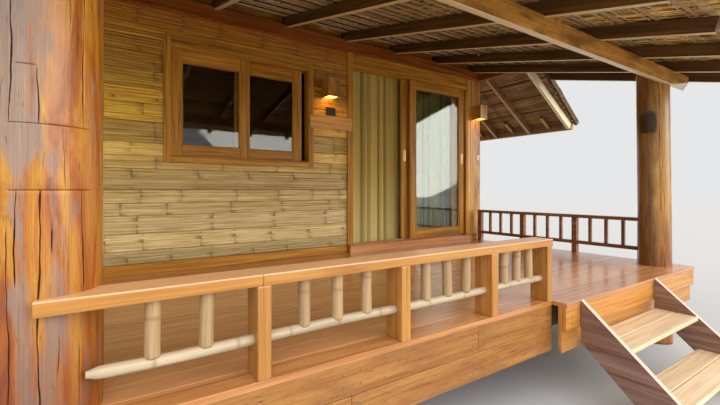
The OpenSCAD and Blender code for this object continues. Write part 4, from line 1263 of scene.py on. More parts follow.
class STILT_HOUSE_OT_railing(bpy.types.Operator):
    """Makes the front railing: teak handrail and posts, bamboo rails and balusters"""

    bl_idname = "stilt_house.railing"
    bl_label = "Front railing"

    def execute(self, context):
        a, b = corners_of("handrail")
        rail = Shape()
        joint = low("rail_posts")[0] - 0.02
        # A painted highlight lies along the front upper edge: the arc of the section's second corner
        painted_edge_highlight = np.zeros((1, 20))
        painted_edge_highlight[0, 6:9] = 0.5
        bar(rail, a, (joint, b[1], b[2]), "x", 0.004, 400, rows=20, bow=0.002, shade=0.62, wear=painted_edge_highlight)
        bar(
            rail, (joint + 0.0012, a[1], a[2]), b, "x", 0.004, 401, rows=50, bow=0.002, shade=0.5, wear=painted_edge_highlight
        )
        # The two lengths meet on a scarf cut 45 mm across the rail
        scarf, scarf_reach = 0.045, 0.3
        for points in rail.points:
            near = np.clip(1 - np.abs(points[:, 0] - joint) / scarf_reach, 0, 1)
            points[:, 0] += scarf * near * (b[1] - points[:, 1]) / (b[1] - a[1])
        rail.piece("handrail_timbers", "varnished_teak", "handrail")
        pa, pb = corners_of("rail_posts")
        width = 0.06
        second, third = -1.018, -0.300
        places = np.array([pa[0] + width / 2, second, third, pb[0] - width / 2])
        posts = Shape()
        for index, x in enumerate(places):
            bar(
                posts, (x - width / 2, pa[1], pa[2]), (x + width / 2, pb[1], pb[2]), "z", 0.004, 410 + index,
                bow=0.0015
            )
        posts.piece("rail_post_timbers", "varnished_teak", "rail_posts")
        ra, rb = corners_of("bamboo_rails")
        y, z, r = (ra[1] + rb[1]) / 2, (ra[2] + rb[2]) / 2, (rb[2] - ra[2]) / 2
        poles = Shape()
        ends = [ra[0], *places]
        for index in range(4):
            left = ends[index] + (0 if index == 0 else width / 2 - 0.004)
            right = ends[index + 1] - width / 2 + 0.004
            cut = 0.45 if index == 0 else 0
            bamboo_stick(poles, (left, y, z), (right, y, z), r, 420 + index, 0.004, whittled=cut)
        poles.piece("bamboo_rail_poles", "bamboo_rail", "bamboo_rails")
        sticks = Shape()
        ends = [low("log_post")[0] + 0.36, *places]
        for index in range(4):
            count = 2 if index == 0 else 3
            left = ends[index] + (0 if index == 0 else width / 2)
            right = ends[index + 1] - width / 2
            for k in range(1, count + 1):
                x = left + (right - left) * k / (count + 1)
                number = index * 5 + k
                lean = rng(440 + number).uniform(-0.006, 0.006, 2)
                foot, head = (x + lean[0], y, z + r * 0.62), (x + lean[1], y, a[2] + 0.004)
                bamboo_stick(sticks, foot, head, r * 1.24, 450 + number, bend=0.0015)
        sticks.piece("bamboo_baluster_poles", "bamboo_pole", "bamboo_balusters")
        return {"FINISHED"}


# Log, post and thatch


def wandered(face, height):
    """Where a column that sets out at an angle has wandered to at a height: slow and quick sines."""
    slow = 0.02 * np.sin(height * 5.3 + face * 5) + 0.01 * np.sin(height * 14 - face * 9 + 1.0)
    return face + slow + 0.004 * np.sin(height * 47 + face * 23) + 0.0022 * np.sin(height * 96 - face * 31)


def away_from(angle, place_deg):
    """How far an angle lies from a place in degrees, in radians between minus pi and pi."""
    return (angle - np.radians(place_deg) + np.pi) % (2 * np.pi) - np.pi


def trunk(node, away, height, radius, mean, lean=0.0, u_start=0.0):
    """Points and UV of a trunk that stands where a CAD node does.

    A point is the node's middle plus radius (cos away, sin away), moved by lean along (4, -3) / 5;
    U is its height and V the way round at the mean radius.
    """
    middle = (low(node) + high(node)) / 2
    x = middle[0] + radius * np.cos(away) + 0.8 * lean
    y = middle[1] + radius * np.sin(away) - 0.6 * lean
    wide = np.concatenate([away, away[:, :1] + 2 * np.pi], 1) * mean + 1.0
    return np.stack([x, y, height], -1), paired(height[:, :1] + u_start, wide)


def crack_field(face, height, cracks, wider=1.0):
    """Depth from 0 to 1 of a list of cracks, each (angle in degrees, foot, head, width, strength).

    A crack stays on its own column and wanders with it. Its width comes and goes. Its depth is e
    to the minus cube of the distance over the width, a slit with steep sides, and it eases in and
    out over 30 mm at its two ends. wider draws the painted shade that darkens a crack wider than
    the slit.
    """
    total = np.zeros(np.shape(height))
    for place_deg, foot, head, width, strength in cracks:
        local = wider * width * (0.45 + 0.55 * ease(0.5 + 0.7 * np.sin(height * 17 + place_deg * 2)))
        away = np.abs(away_from(face, place_deg))
        ends = ease((height - foot) / 0.03) * ease((head - height) / 0.03)
        total = np.maximum(total, strength * ends * np.exp(-((away * BARK_RADIUS / local) ** 3)))
    return total


def columns_by(cracks, count):
    """Angles of a grid's columns: count evenly spaced ones, and nine across each crack."""
    across = np.array([-2.2, -1.4, -0.9, -0.45, 0.0, 0.45, 0.9, 1.4, 2.2])
    tight = [np.radians(place_deg) + across * width / BARK_RADIUS for place_deg, _, _, width, _ in cracks]
    even = (np.arange(count) + 0.5) / count * 2 * np.pi - np.pi
    near = np.abs(even[:, None] - np.concatenate(tight)[None]).min(1)
    return np.sort(np.concatenate([even[near > 0.008], *tight]))


def knot_field(angle, height, knots):
    """Height of a list of knots, each (angle in degrees, height, size): a ring with a sunk heart.

    At a distance of q sizes it is e to the minus q squared, times 2.6 q squared minus 0.5.
    """
    total = np.zeros(np.shape(angle))
    for place_deg, level, size in knots:
        away = away_from(angle, place_deg) * BARK_RADIUS
        q = (away**2 + ((height - level) * 0.75) ** 2) / size**2
        total = total + np.exp(-q) * (2.6 * q - 0.5)
    return total


def kerf_field(angle, height, kerfs):
    """Depth from 0 to 1 of level saw cuts, each (height, first angle, last angle, width)."""
    total = np.zeros(np.shape(angle))
    for level, first, last, width in kerfs:
        degrees = (np.degrees(angle) + 180) % 360 - 180
        inside = ease((degrees - first) / 3) * ease((last - degrees) / 3)
        total = np.maximum(total, inside * np.exp(-(((height - level) / width) ** 2)))
    return total


LOG_CRACKS = [
    (-48, 1.2, 1.57, 0.0022, 1.0), (-47, 1.76, 2.5, 0.002, 1.0), (-85, 0.7, 1.57, 0.002, 1.0),
    (-87, 1.76, 1.955, 0.0012, 0.9), (-102, 1.25, 1.57, 0.0018, 1.0), (-107, 1.76, 2.6, 0.0019, 1.0),
    (-77, 1.35, 1.45, 0.0016, 0.9), (-108.5, 0.6, 1.45, 0.0017, 0.8), (-114, 1.75, 1.9, 0.0013, 0.9),
    (-70, 0.95, 1.1, 0.0014, 0.6), (-66, 1.56, 1.77, 0.0008, 0.6), (-52, 0.3, 1.05, 0.0014, 0.6),
    (-20, 0.2, 1.7, 0.0014, 0.7), (20, 0.9, 2.6, 0.0018, 0.8), (65, 0.1, 1.9, 0.0022, 1.0),
    (110, 1.2, 2.7, 0.0018, 0.8), (150, 0.2, 2.2, 0.0022, 0.9), (-150, 0.5, 2.5, 0.0022, 1.0),
    (-170, 1.0, 1.9, 0.0014, 0.6), (-130, 0.0, 1.1, 0.0018, 0.8), (-60, 2.1, 2.7, 0.0016, 0.8),
    (-93, 0.0, 0.6, 0.0016, 0.7), (-122, 1.765, 1.85, 0.001, 0.8)
]
LOG_KERFS = [
    (1.769, -110, -39, 0.0012), (1.56, -110, -38, 0.0014), (1.952, -104, -86, 0.0011),
    (1.752, -135, -114, 0.0011), (1.9, -135, -114, 0.0011)
]
# Branch knots: angle in degrees, height, size
LOG_KNOTS = [
    (-104, 2.13, 0.03), (-100, 1.18, 0.024), (-62, 0.62, 0.028), (10, 1.9, 0.035), (95, 0.9, 0.03),
    (-165, 2.3, 0.04)
]
# Where the log is grey or bright: angle in degrees, height, half widths in degrees and metres, amount
LOG_TONES = [
    (-104, 2.05, 22, 0.34, 0.42), (-97, 1.7, 13, 0.08, 0.5), (-116, 1.4, 10, 0.3, -0.25),
    (-96, 0.95, 7, 0.4, 0.36), (-110, 1.6, 6, 0.05, -0.3), (-84, 1.61, 9, 0.05, -0.3),
    (-90, 1.3, 14, 0.2, -0.25), (-104, 1.22, 9, 0.06, 0.35), (-72, 0.85, 8, 0.35, 0.22),
    (-108, 0.8, 6, 0.5, -0.25), (-62, 2.1, 16, 0.35, -0.34), (-35, 1.6, 24, 0.7, -0.26),
    (-80, 1.4, 12, 0.13, -0.1), (60, 1.2, 30, 0.6, 0.2), (170, 1.9, 35, 0.6, 0.2), (120, 0.5, 40, 0.4, 0.2),
    (-150, 0.4, 30, 0.4, 0.25), (-80, 0.3, 60, 0.2, 0.2), (-68, 1.66, 14, 0.07, 0.12)
]


class STILT_HOUSE_OT_posts(bpy.types.Operator):
    """Shapes the cracked log and the round post, and sets them in place of their plain solids"""

    bl_idname = "stilt_house.posts"
    bl_label = "Log and round post"

    def execute(self, context):
        depth = context.scene.stilt_house_sizes.crack
        a, b = corners_of("log_post")
        rows = np.linspace(a[2], b[2], 140)
        kerf_rows = [
            level + away for level, *_ in LOG_KERFS
            for away in (-0.004, -0.002, -0.001, 0, 0.001, 0.002, 0.004)
        ]
        rows = np.unique(np.concatenate([rows, kerf_rows]))
        face, height = np.meshgrid(columns_by(LOG_CRACKS, 150), rows, indexing="xy")
        away = wandered(face, height)
        turn = np.stack([np.cos(away), np.sin(away)])
        bark = swell(500, 7, turn[0] * 1.6, turn[1] * 1.6, height / 0.9)
        ripple = swell(501, 8, turn[0] * 5, turn[1] * 5, height / 0.35)
        # The foot flares by 12 mm and is lumpy below 1.3 m
        lumps = swell(502, 8, turn[0] * 6, turn[1] * 6, height / 0.22)
        flare = 0.012 * np.exp(-height / 0.35) + 0.0045 * lumps * ease((1.3 - height) / 0.5)
        cracks = crack_field(face, height, LOG_CRACKS)
        kerfs = kerf_field(away, height, LOG_KERFS)
        knots = knot_field(away, height, LOG_KNOTS)
        radius = LOG_RADIUS + flare + 0.0035 * bark + 0.0016 * ripple
        radius = radius - depth * cracks - 0.004 * kerfs + 0.003 * knots
        points, uv = trunk("log_post", away, height, radius, LOG_RADIUS)
        grey = np.full(away.shape, 0.5)
        for place_deg, level, wide_deg, tall, amount in LOG_TONES:
            round_it = (np.degrees(away) - place_deg + 180) % 360 - 180
            grey = grey + amount * np.exp(-((round_it / wide_deg) ** 2) - ((height - level) / tall) ** 2)
        log = Shape()
        # Painted shade darkens the cracks, wider than the slits, and the saw kerfs; the sunk hearts of the
        # knots are dark wood
        dark = crack_field(face, height, LOG_CRACKS, 1.25) + kerfs * 0.75 + 0.35 * np.clip(-knots, 0, 1)
        log.add(points, uv, closed=True, caps=True, shade=grey, wear=np.clip(dark, 0, 1))
        log.piece("cracked_log", "log", "log_post")

        a, b = corners_of("round_post")
        chance = rng(520)
        splits = [
            (float(t), float(f), float(f + h), 0.0018, float(s))
            for t, f, h, s in zip(
                chance.uniform(-180, 180, 16), chance.uniform(0, 1.9, 16), chance.uniform(0.5, 1.6, 16),
                chance.uniform(0.4, 1, 16)
            )
        ]
        face, height = np.meshgrid(columns_by(splits, 110), np.linspace(a[2], b[2], 130), indexing="xy")
        away = wandered(face, height)
        turn = np.stack([np.cos(away), np.sin(away)])
        cracks = crack_field(face, height, splits)
        # A ragged housing, cut 6 mm deep into the side that looks left
        foot, head = 2.13, 2.375
        ragged = 0.03 * swell(522, 6, away / 0.2, height / 0.06)
        housing = ease((np.cos(away - np.pi) - 0.80 + ragged) / 0.14) * ease((height - foot + ragged) / 0.04)
        housing = housing * ease((head - height + ragged) / 0.04)
        bark = swell(521, 7, turn[0] * 1.6, turn[1] * 1.6, height / 0.9)
        # The post leans 15 mm either way of its middle, towards the stairs at its foot
        lean = 0.015 * (1 - 2 * (height - a[2]) / (b[2] - a[2]))
        radius = 0.144 + 0.003 * bark - 0.007 * cracks - 0.006 * housing
        points, uv = trunk("round_post", away, height, radius, POST_RADIUS, lean, 4.0)
        post = Shape()
        # Painted shade darkens the side that looks away from the light
        dark = 0.42 * ease((np.cos(away - np.radians(138)) - 0.1 + 4 * ragged) / 0.6)
        post.add(points, uv, closed=True, caps=True, wear=np.clip(cracks + 0.56 * housing + dark, 0, 1))
        post.piece("round_post_surface", "post", "round_post")
        return {"FINISHED"}


def leaf_blades(
    shape, base, way, aside, upward, length, width, droop, seed, rows=3, curl=0.15, tone=(0.1, 0.9)
):
    """Adds many leaf blades at once, one for each row of base.

    Point (s, t) of a blade is base + s length way + t width (1 - s to the fourth)/2 aside, minus
    droop length s squared along upward, plus curl width (t squared) upward: a blade that narrows to
    its tip, hangs down towards it and is folded a little along its rib.
    """
    chance = rng(seed)
    count = len(base)
    s = np.linspace(0, 1, rows)[None, :, None]
    t = np.array([-1.0, 0.0, 1.0])[None, None, :]
    length = np.broadcast_to(length, (count,))[:, None, None]
    width = np.broadcast_to(width, (count,))[:, None, None]
    droop = np.broadcast_to(droop, (count,))[:, None, None]
    narrow = width / 2 * (1 - 0.75 * s**4)
    run = s * length
    fall = droop * length * s**2
    fold = curl * width * t**2
    points = (
        base[:, None, None]
        + run[..., None] * way[:, None, None]
        + (narrow * t)[..., None] * aside[:, None, None]
        + ((fold - fall)[..., None]) * upward[:, None, None]
    )
    u = run + chance.uniform(0, 9, (count, 1, 1))
    v = t * width / 2 + chance.uniform(0, 9, (count, 1, 1))
    shade = np.clip(chance.uniform(*tone, count), 0, 1)
    shape.add(points, paired(u, v), shade=shade)


def blade_ways(down, across, turn):
    """The way of each blade down the slope once turned, and the direction square to it."""
    cos, sin = np.cos(turn)[:, None], np.sin(turn)[:, None]
    return down * cos + across * sin, across * cos - down * sin


def leaf_courses(
    shape, corner, down, across, normal, width, run, sizes, seed, lift=0.012, edge=None, reach=None,
    spread=0.14, density=1.0, tone=(0.1, 0.9), droop=(0.02, 0.1), over=2.1, outside=None
):
    """Covers a slope with courses of palm leaf blades.

    Courses lie sizes.course apart down the slope; in each, blades stand side by side with a chance
    shift, turn and length, and lie on the blades below. edge(s) moves a course's start sideways, so
    that a raking gable end is followed. outside(base, tip) says which blades lie clear of the
    other roof; the rest are left out.
    """
    chance = rng(seed)
    corner, down, across, normal = (np.asarray(v, float) for v in (corner, down, across, normal))
    step = sizes.course
    starts = np.arange(-0.4 * step, run - 0.2 * step, step)
    for index, s in enumerate(starts):
        near, far = edge(s) if edge else (0.0, width)
        count = int((far - near) / (sizes.leaf * 0.8) * density)
        place_x = np.linspace(near + 0.01, far - 0.01, count) + chance.uniform(-0.012, 0.012, count)
        way, aside = blade_ways(down, across, chance.normal(0, spread, count))
        upward = np.broadcast_to(normal, (count, 3))
        start = max(s, 0.0) + chance.uniform(0, 0.03, count)
        level = lift * (0.4 + chance.uniform(0, 0.6, count))
        base = corner + start[:, None] * down + place_x[:, None] * across + level[:, None] * normal
        length = step * over * chance.uniform(0.72, 1.08, count)
        limit = (reach if reach else run + 0.12) - start
        length = np.minimum(length, np.maximum(limit * chance.uniform(0.8, 1.02, count), 0.05))
        wide = sizes.leaf * chance.uniform(0.75, 1.35, count)
        fall = chance.uniform(*droop, count)
        keep = outside(base, base + way * length[:, None]) if outside else np.full(count, True)
        if not keep.any():
            continue
        leaf_blades(
            shape, base[keep], way[keep], aside[keep], upward[keep], length[keep], wide[keep], fall[keep],
            seed + index + 1, curl=chance.uniform(0.05, 0.2), tone=tone
        )


def lath_rows(shape, corner, down, across, normal, run, edge, pitch, seed):
    """Covers the underside of a slope with rows of leaf folded over laths, each lapping the next.

    Across a row the depth below the slope is 3 mm at its upper edge, 9 mm at a third, 15 mm
    near its lower edge and 2 mm behind it. The upper edge is darkened with painted shade, under
    the lap of the row above. The lower edge wanders by a sixth of the pitch.
    """
    chance = rng(seed)
    corner, down, across, normal = (np.asarray(v, float) for v in (corner, down, across, normal))
    starts = np.arange(0.0, run - pitch, pitch)
    near, far = np.array([edge(s) for s in starts]).T
    share = np.linspace(0, 1, 84)[None]
    y = near[:, None] + (far - near)[:, None] * share
    wander = swell(seed, 6, y / 0.07, starts[:, None] * 31) * pitch / 6
    sag = swell(seed + 1, 5, y / 0.9, starts[:, None] * 9) * 0.004
    place_s = np.array(
        [0.0, 0.33, 0.93, 1.03]
    )[:, None, None] * pitch + starts[None, :, None] + np.zeros_like(y)
    place_s = place_s + wander * np.array([0.0, 0.4, 1.0, 1.0])[:, None, None] + sag
    depth = np.array([0.003, 0.009, 0.015, 0.002])[:, None, None] * (
        1 + 0.25 * swell(seed + 2, 5, y / 0.13, starts[:, None] * 17)
    )
    points = corner + place_s[..., None] * down + y[..., None] * across - depth[..., None] * normal
    points = points.transpose(1, 2, 0, 3)
    tone = chance.uniform(0.2, 0.8, len(starts))[:, None]
    tone = np.clip(tone + 0.25 * swell(seed + 3, 6, y / 0.2, starts[:, None] * 40), 0, 1)[..., None]
    # Painted shade along each row's upper edge and behind its lower edge, where the rows lap
    dark = np.broadcast_to(np.array([1.0, 0.35, 0.0, 1.0]), points.shape[:3])
    shape.add(
        points, shade=np.broadcast_to(tone, points.shape[:3]), wear=dark,
        flip=down @ np.cross(across, normal) < 0
    )


def below_main_roof(base, tip):
    """Which leaves of the veranda lie under the main roof's underside, or in front of its rake."""
    clear = np.full(len(base), True)
    for end in (base, tip):
        underside = ROOF_UNDERSIDE - np.abs(end[:, 0]) * np.tan(ROOF_PITCH)
        clear &= (end[:, 2] < underside) | (end[:, 1] < ROOF_RAKE)
    return clear


class STILT_HOUSE_OT_veranda_thatch(bpy.types.Operator):
    """Lays the veranda roof's palm leaf above and the woven leaf that shows between the rafters"""

    bl_idname = "stilt_house.veranda_thatch"
    bl_label = "Veranda thatch"

    def execute(self, context):
        sizes = context.scene.stilt_house_sizes
        a, b = corners_of("veranda_thatch")
        down = np.array([0, -np.cos(VERANDA_PITCH), -np.sin(VERANDA_PITCH)])
        normal = np.array([0, -np.sin(VERANDA_PITCH), np.cos(VERANDA_PITCH)])
        across = np.array([1.0, 0, 0])
        width = b[0] - a[0]
        thick = 0.042
        run = (b[1] - a[1] - thick * np.sin(VERANDA_PITCH)) / np.cos(VERANDA_PITCH)
        lower_front = np.array([a[0], a[1], a[2] + thick * np.cos(VERANDA_PITCH)])
        top_back = lower_front - down * run
        top = Shape()
        leaf_courses(
            top, top_back - down * 0.25, down, across, normal, width, run + 0.25, sizes, 600,
            outside=below_main_roof
        )
        top.piece("veranda_leaf_courses", "leaf")
        under = Shape()
        under_back = top_back - normal * (thick + 0.002)
        leaf_courses(
            under, under_back, down, across, -normal, width, run, sizes, 700, lift=0.01, reach=run + 0.02,
            spread=0.07, density=1.15, tone=(0.15, 0.95), droop=(-0.03, 0.03), over=1.5,
            outside=below_main_roof
        )
        under.piece("veranda_woven_leaf", "woven_leaf")
        # The canes that the leaves are folded over, 9 mm thick and 125 mm apart
        canes = Shape()
        for index, s in enumerate(np.arange(0.06, run - 0.03, 0.125)):
            x = np.linspace(a[0] + 0.02, b[0] - 0.02, 40)
            shift = 0.01 * swell(760 + index, 4, x / 0.8)
            path = under_back + (s + shift[:, None]) * down - 0.013 * normal + (x - a[0])[:, None] * across
            inside = below_main_roof(path, path)
            if inside.sum() > 2:
                tube(canes, path[inside], 0.0045, 6, shade=rng(770 + index).uniform(0.3, 0.9))
        canes.piece("veranda_leaf_canes", "cane")
        return {"FINISHED"}


def roof_slope(side):
    """The way down the main roof on one side, and square out of it."""
    cos, sin = np.cos(ROOF_PITCH), np.sin(ROOF_PITCH)
    return np.array([side * cos, 0, -sin]), np.array([side * sin, 0, cos])


class STILT_HOUSE_OT_roof_thatch(bpy.types.Operator):
    """Lays the main roof's palm leaf on both slopes, the folded leaf below and the ridge"""

    bl_idname = "stilt_house.roof_thatch"
    bl_label = "Main roof thatch"

    def execute(self, context):
        sizes = context.scene.stilt_house_sizes
        a, b = corners_of("roof_thatch")
        thick = 0.085
        prow, inset = 0.3, 0.05
        eave_top = np.array([b[0], 0, a[2] + thick * np.cos(ROOF_PITCH)])
        length = b[0] / np.cos(ROOF_PITCH)
        across = np.array([0, 1.0, 0])
        for side, name, seed in ((1, "right", 800), (-1, "left", 900)):
            down, normal = roof_slope(side)
            eave = np.array([side * eave_top[0], 0, eave_top[2]])
            ridge = eave - down * length

            def edge(s):
                lean = prow * s / length
                return a[1] + lean + inset, b[1] - lean - inset

            top = Shape()
            leaf_courses(
                top, ridge, down, across, normal, 0, length, sizes, seed, lift=0.02, edge=edge, spread=0.1
            )
            top.piece(f"{name}_roof_leaf_courses", "leaf")
            under = Shape()
            start = ridge - normal * (thick + JOINT) + down * 0.06
            lath_rows(under, start, down, across, normal, length - 0.16, edge, 0.048, seed + 50)
            under.piece(f"{name}_roof_woven_leaf", "lath_leaf")
        cap = Shape()
        ca, cb = corners_of("ridge_cap")
        count = int((cb[1] - ca[1]) / 0.02)
        for side in (-1, 1):
            chance = rng(990 + side)
            down, normal = roof_slope(side)
            place_y = np.linspace(ca[1] + 0.01, cb[1] - 0.01, count) + chance.uniform(-0.01, 0.01, count)
            way, aside = blade_ways(down, across, chance.normal(0, 0.16, count))
            base = np.stack([np.zeros(count), place_y, np.full(count, cb[2] + 0.002)], -1)
            base = base + normal * chance.uniform(0, 0.012, (count, 1))
            leaf_blades(
                cap, base, way, aside, np.broadcast_to(normal, (count, 3)), chance.uniform(0.4, 0.56, count),
                chance.uniform(0.03, 0.05, count), chance.uniform(-0.02, 0.06, count), 995 + side, rows=5
            )
        cap.piece("ridge_cap_leaves", "leaf")
        return {"FINISHED"}


# Curtain, lamps, plates and stairs


class STILT_HOUSE_OT_curtain(bpy.types.Operator):
    """Hangs the olive curtain on its rings behind the left half of the doorway"""

    bl_idname = "stilt_house.curtain"
    bl_label = "Curtain"

    def execute(self, context):
        a, b = corners_of("curtain")
        folds, hem, inset, half_depth = 11, 0.004, 0.012, 0.027
        u, v = np.meshgrid(np.linspace(0, 1, folds * 24 + 1), np.linspace(0, 1, 48), indexing="xy")
        middle = (a[1] + b[1]) / 2
        drop = b[2] - a[2] - hem
        # Depth is a rounded lobe between narrow creases: twice the root of |sin| of half the phase,
        # less one. Wide folds alternate with narrow ones, they lean and spread on the way down, and
        # smaller folds ride on them
        share = np.array([1.5, 0.5, 1.0, 0.6, 1.7, 0.5, 0.8, 1.3, 0.5, 1.6, 0.7])
        edges = np.concatenate([[0], np.cumsum(share) / share.sum()])
        leaning = np.clip(u + (0.012 + 0.02 * v) * swell(610, 5, u * 4, v * 0.8), 0, 1)
        phase = 2 * np.pi * np.interp(leaning, edges, np.arange(folds + 1))
        size = 0.0205 + 0.009 * swell(611, 5, u * folds / 1.5, v * 1.1)
        size = size * (0.6 + 0.4 * ease(v / 0.12))
        small = 0.32 * np.sin(3.3 * phase + 2 * swell(612, 4, u * folds, v * 2)) * (1 - 0.5 * v)
        sharp = 1 - 2 * np.sqrt(np.abs(np.sin(phase / 2)) + 0.02) + small
        sharp = np.clip(sharp, -1.15, 1.15)
        x = a[0] + inset + (b[0] - a[0] - 2 * inset) * u + 0.007 * np.sin(phase) * ease(v / 0.2)
        y = middle + np.clip(size * sharp, -half_depth, half_depth)
        z = b[2] - hem - drop * v
        points = np.stack([x, y, z], -1)
        width = np.linalg.norm(np.diff(points, axis=1), axis=-1).sum(1).mean()
        across = np.linspace(0, width, points.shape[1])
        uv = paired(across[None], drop * v[:, :1])
        cloth = Shape()
        # Painted shade and highlight: the creases dark, the lobes light, and each fold a little apart in how
        # lit it is
        lit = 0.9 + 0.25 * swell(613, 5, phase / 5, v * 0.4)
        cloth.add(points, uv, flip=True, shade=np.clip((0.5 - sharp / 2) * lit, 0, 1))
        curtain = cloth.piece("linen_curtain", "curtain")
        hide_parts("curtain")
        rod = (low("curtain_rod") + high("curtain_rod")) / 2
        rings = Shape()
        turn = np.linspace(0, 2 * np.pi, 25)
        ring, wire, first = 0.019, 0.0022, 0.03
        for x in np.linspace(a[0] + first, b[0] - first, folds + 1):
            y, z = middle + ring * np.cos(turn), rod[2] - 0.006 + ring * np.sin(turn)
            tube(rings, np.stack([np.full(25, x), y, z], -1), wire, 8, caps=False)
        hooks = rings.piece("curtain_rings", "rod")
        return {"FINISHED"}


def screw_heads(shape, places, radius=0.005):
    """Domed screw heads on a front face: rings of radius r cos t at height r sin t / 2."""
    out = np.array([0, -1.0, 0])
    t = np.linspace(0, np.pi / 2 * 0.98, 5)
    turn = np.linspace(0, 2 * np.pi, 12, endpoint=False)
    first = np.array([0, 0, 1.0])
    second = np.cross(out, first)
    ring = first * np.cos(turn)[:, None] + second * np.sin(turn)[:, None]
    dome = ring[None] * (radius * np.cos(t))[:, None, None] + out * (radius * 0.5 * np.sin(t))[:, None, None]
    points = np.asarray(places, float)[:, None, None] + dome[None]
    shape.add(points, closed=True, caps=True)


# Where the small fittings lie on the front: left, right, foot and head
NUMBER_PLATE = (0.011, 0.138, 2.463, 2.56)
NAME_BOARD = (-0.217, 0.371, 2.295, 2.451)
CLEATS = ((-1.281, -1.251, 3.29, 3.4), (1.777, 1.82, 3.285, 3.4))
LAMP_CASING = (2.612, 2.642, 2.9, 3.26)
SWITCH = (2.742, 2.798, 2.03, 2.11)
ROCKER = (2.757, 2.783, 2.052, 2.088)


def mounted(shape, spot, front, back, along, corner, seed, **settings):
    """A small board that covers one such spot, from its front to its back."""
    left, right, foot, head = spot
    bar(shape, (left, front, foot), (right, back, head), along, corner, seed, **settings)


class STILT_HOUSE_OT_fittings(bpy.types.Operator):
    """Makes the wall lamps, the bare number plate and name board, the cleats and the switch"""

    bl_idname = "stilt_house.fittings"
    bl_label = "Lamps and plates"

    def execute(self, context):
        a, b = corners_of("wall_lamps")
        lamps, glow = Shape(), Shape()
        width, board = 0.155, 0.012
        wall = low("wall_left_of_window")[1]
        for index, (x, back) in enumerate(((a[0] + width / 2, wall), (b[0] - width / 2, wall - 0.008))):
            left, right, seed = x - width / 2, x + width / 2, 1000 + index * 10
            bar(lamps, (left, a[1], a[2]), (right, a[1] + board, b[2] - board), "z", 0.002, seed)
            bar(lamps, (left, a[1] + board, a[2]), (left + board, back, b[2] - board), "z", 0.002, seed + 1)
            bar(lamps, (right - board, a[1] + board, a[2]), (right, back, b[2] - board), "z", 0.002, seed + 2)
            bar(
                lamps, (left - 0.004, a[1] - 0.004, b[2] - board), (right + 0.004, back, b[2]), "x", 0.002,
                seed + 3
            )
            bar(
                glow, (left + board, a[1] + board, a[2] + 0.01), (right - board, back - board, a[2] + 0.014),
                "x", 0.001, seed, rows=4, bow=0.0
            )
        lamps.piece("wall_lamp_boxes", "aged_teak", "wall_lamps")
        glow.piece("lamp_diffusers", "amber")
        plates = Shape()
        mounted(plates, NUMBER_PLATE, wall - 0.021, wall - 0.009, "x", 0.002, 1040, rows=8, bow=0.0)
        plates.piece("bare_number_plate", "black_plate")
        board_front = low("door_frame")[1]
        sign = Shape()
        mounted(
            sign, NAME_BOARD, board_front - 0.017, board_front - 0.0006, "x", 0.003, 1050, rows=24, shade=0.9
        )
        sign.piece("bare_name_board", "sash_teak")
        strips = Shape()
        plate_front = low("wall_plates")[1]
        for index, spot in enumerate(CLEATS):
            front, back = plate_front - 0.012, plate_front - 0.0006
            mounted(strips, spot, front, back, "z", 0.002, 1070 + index, rows=6, shade=0.95)
        mounted(strips, LAMP_CASING, wall - 0.028, wall - 0.0124, "z", 0.002, 1072, rows=8, shade=0.95)
        strips.piece("plate_cleats", "sash_teak")
        heads = Shape()
        y = board_front - 0.0175
        screw_heads(heads, [(-0.195, y, 2.32), (-0.195, y, 2.43), (0.349, y, 2.32), (0.349, y, 2.43)])
        screw_heads(heads, [(0.022, wall - 0.0212, 2.474), (0.127, wall - 0.0212, 2.549)], 0.004)
        heads.piece("plate_screws", "bolt")
        switch = Shape()
        post = low("corner_posts")[1]
        mounted(switch, SWITCH, post - 0.009, post, "z", 0.003, 1060, rows=6, bow=0.0)
        mounted(switch, ROCKER, post - 0.013, post - 0.009, "z", 0.002, 1061, rows=4, bow=0.0)
        switch.piece("light_switch", "switch")
        return {"FINISHED"}


class STILT_HOUSE_OT_stairs(bpy.types.Operator):
    """Makes the treads of the stairs, two boards to a tread"""

    bl_idname = "stilt_house.stairs"
    bl_label = "Stair treads"

    def execute(self, context):
        a, b = corners_of("stair_treads")
        treads = Shape()
        deck_top, rise, going = 0.78, 0.26, 0.3
        for index in range(2):
            top = deck_top - rise * (index + 1)
            back = low("deck")[1] - FASCIA_SET - going * index
            for k, (near, far) in enumerate(((back - 0.306, back - 0.1555), (back - 0.1525, back))):
                bar(
                    treads, (a[0], near, top - 0.034), (b[0], far, top), "x", 0.005, 1100 + index * 10 + k,
                    rows=24, bow=0.0015, wear=0.25 if k == 0 else 0.05
                )
        treads.piece("tread_boards", "tread_timber", "stair_treads")
        return {"FINISHED"}


class STILT_HOUSE_OT_finishes(bpy.types.Operator):
    """Makes the materials and gives each CAD node that stays in sight its own"""

    bl_idname = "stilt_house.finishes"
    bl_label = "Materials"

    def execute(self, context):
        make_finishes(context.scene.stilt_house_colours)
        for finish, nodes in CAD_NODES.items():
            for node in nodes:
                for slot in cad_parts[node].material_slots:
                    slot.material = FINISHES[finish]
        return {"FINISHED"}


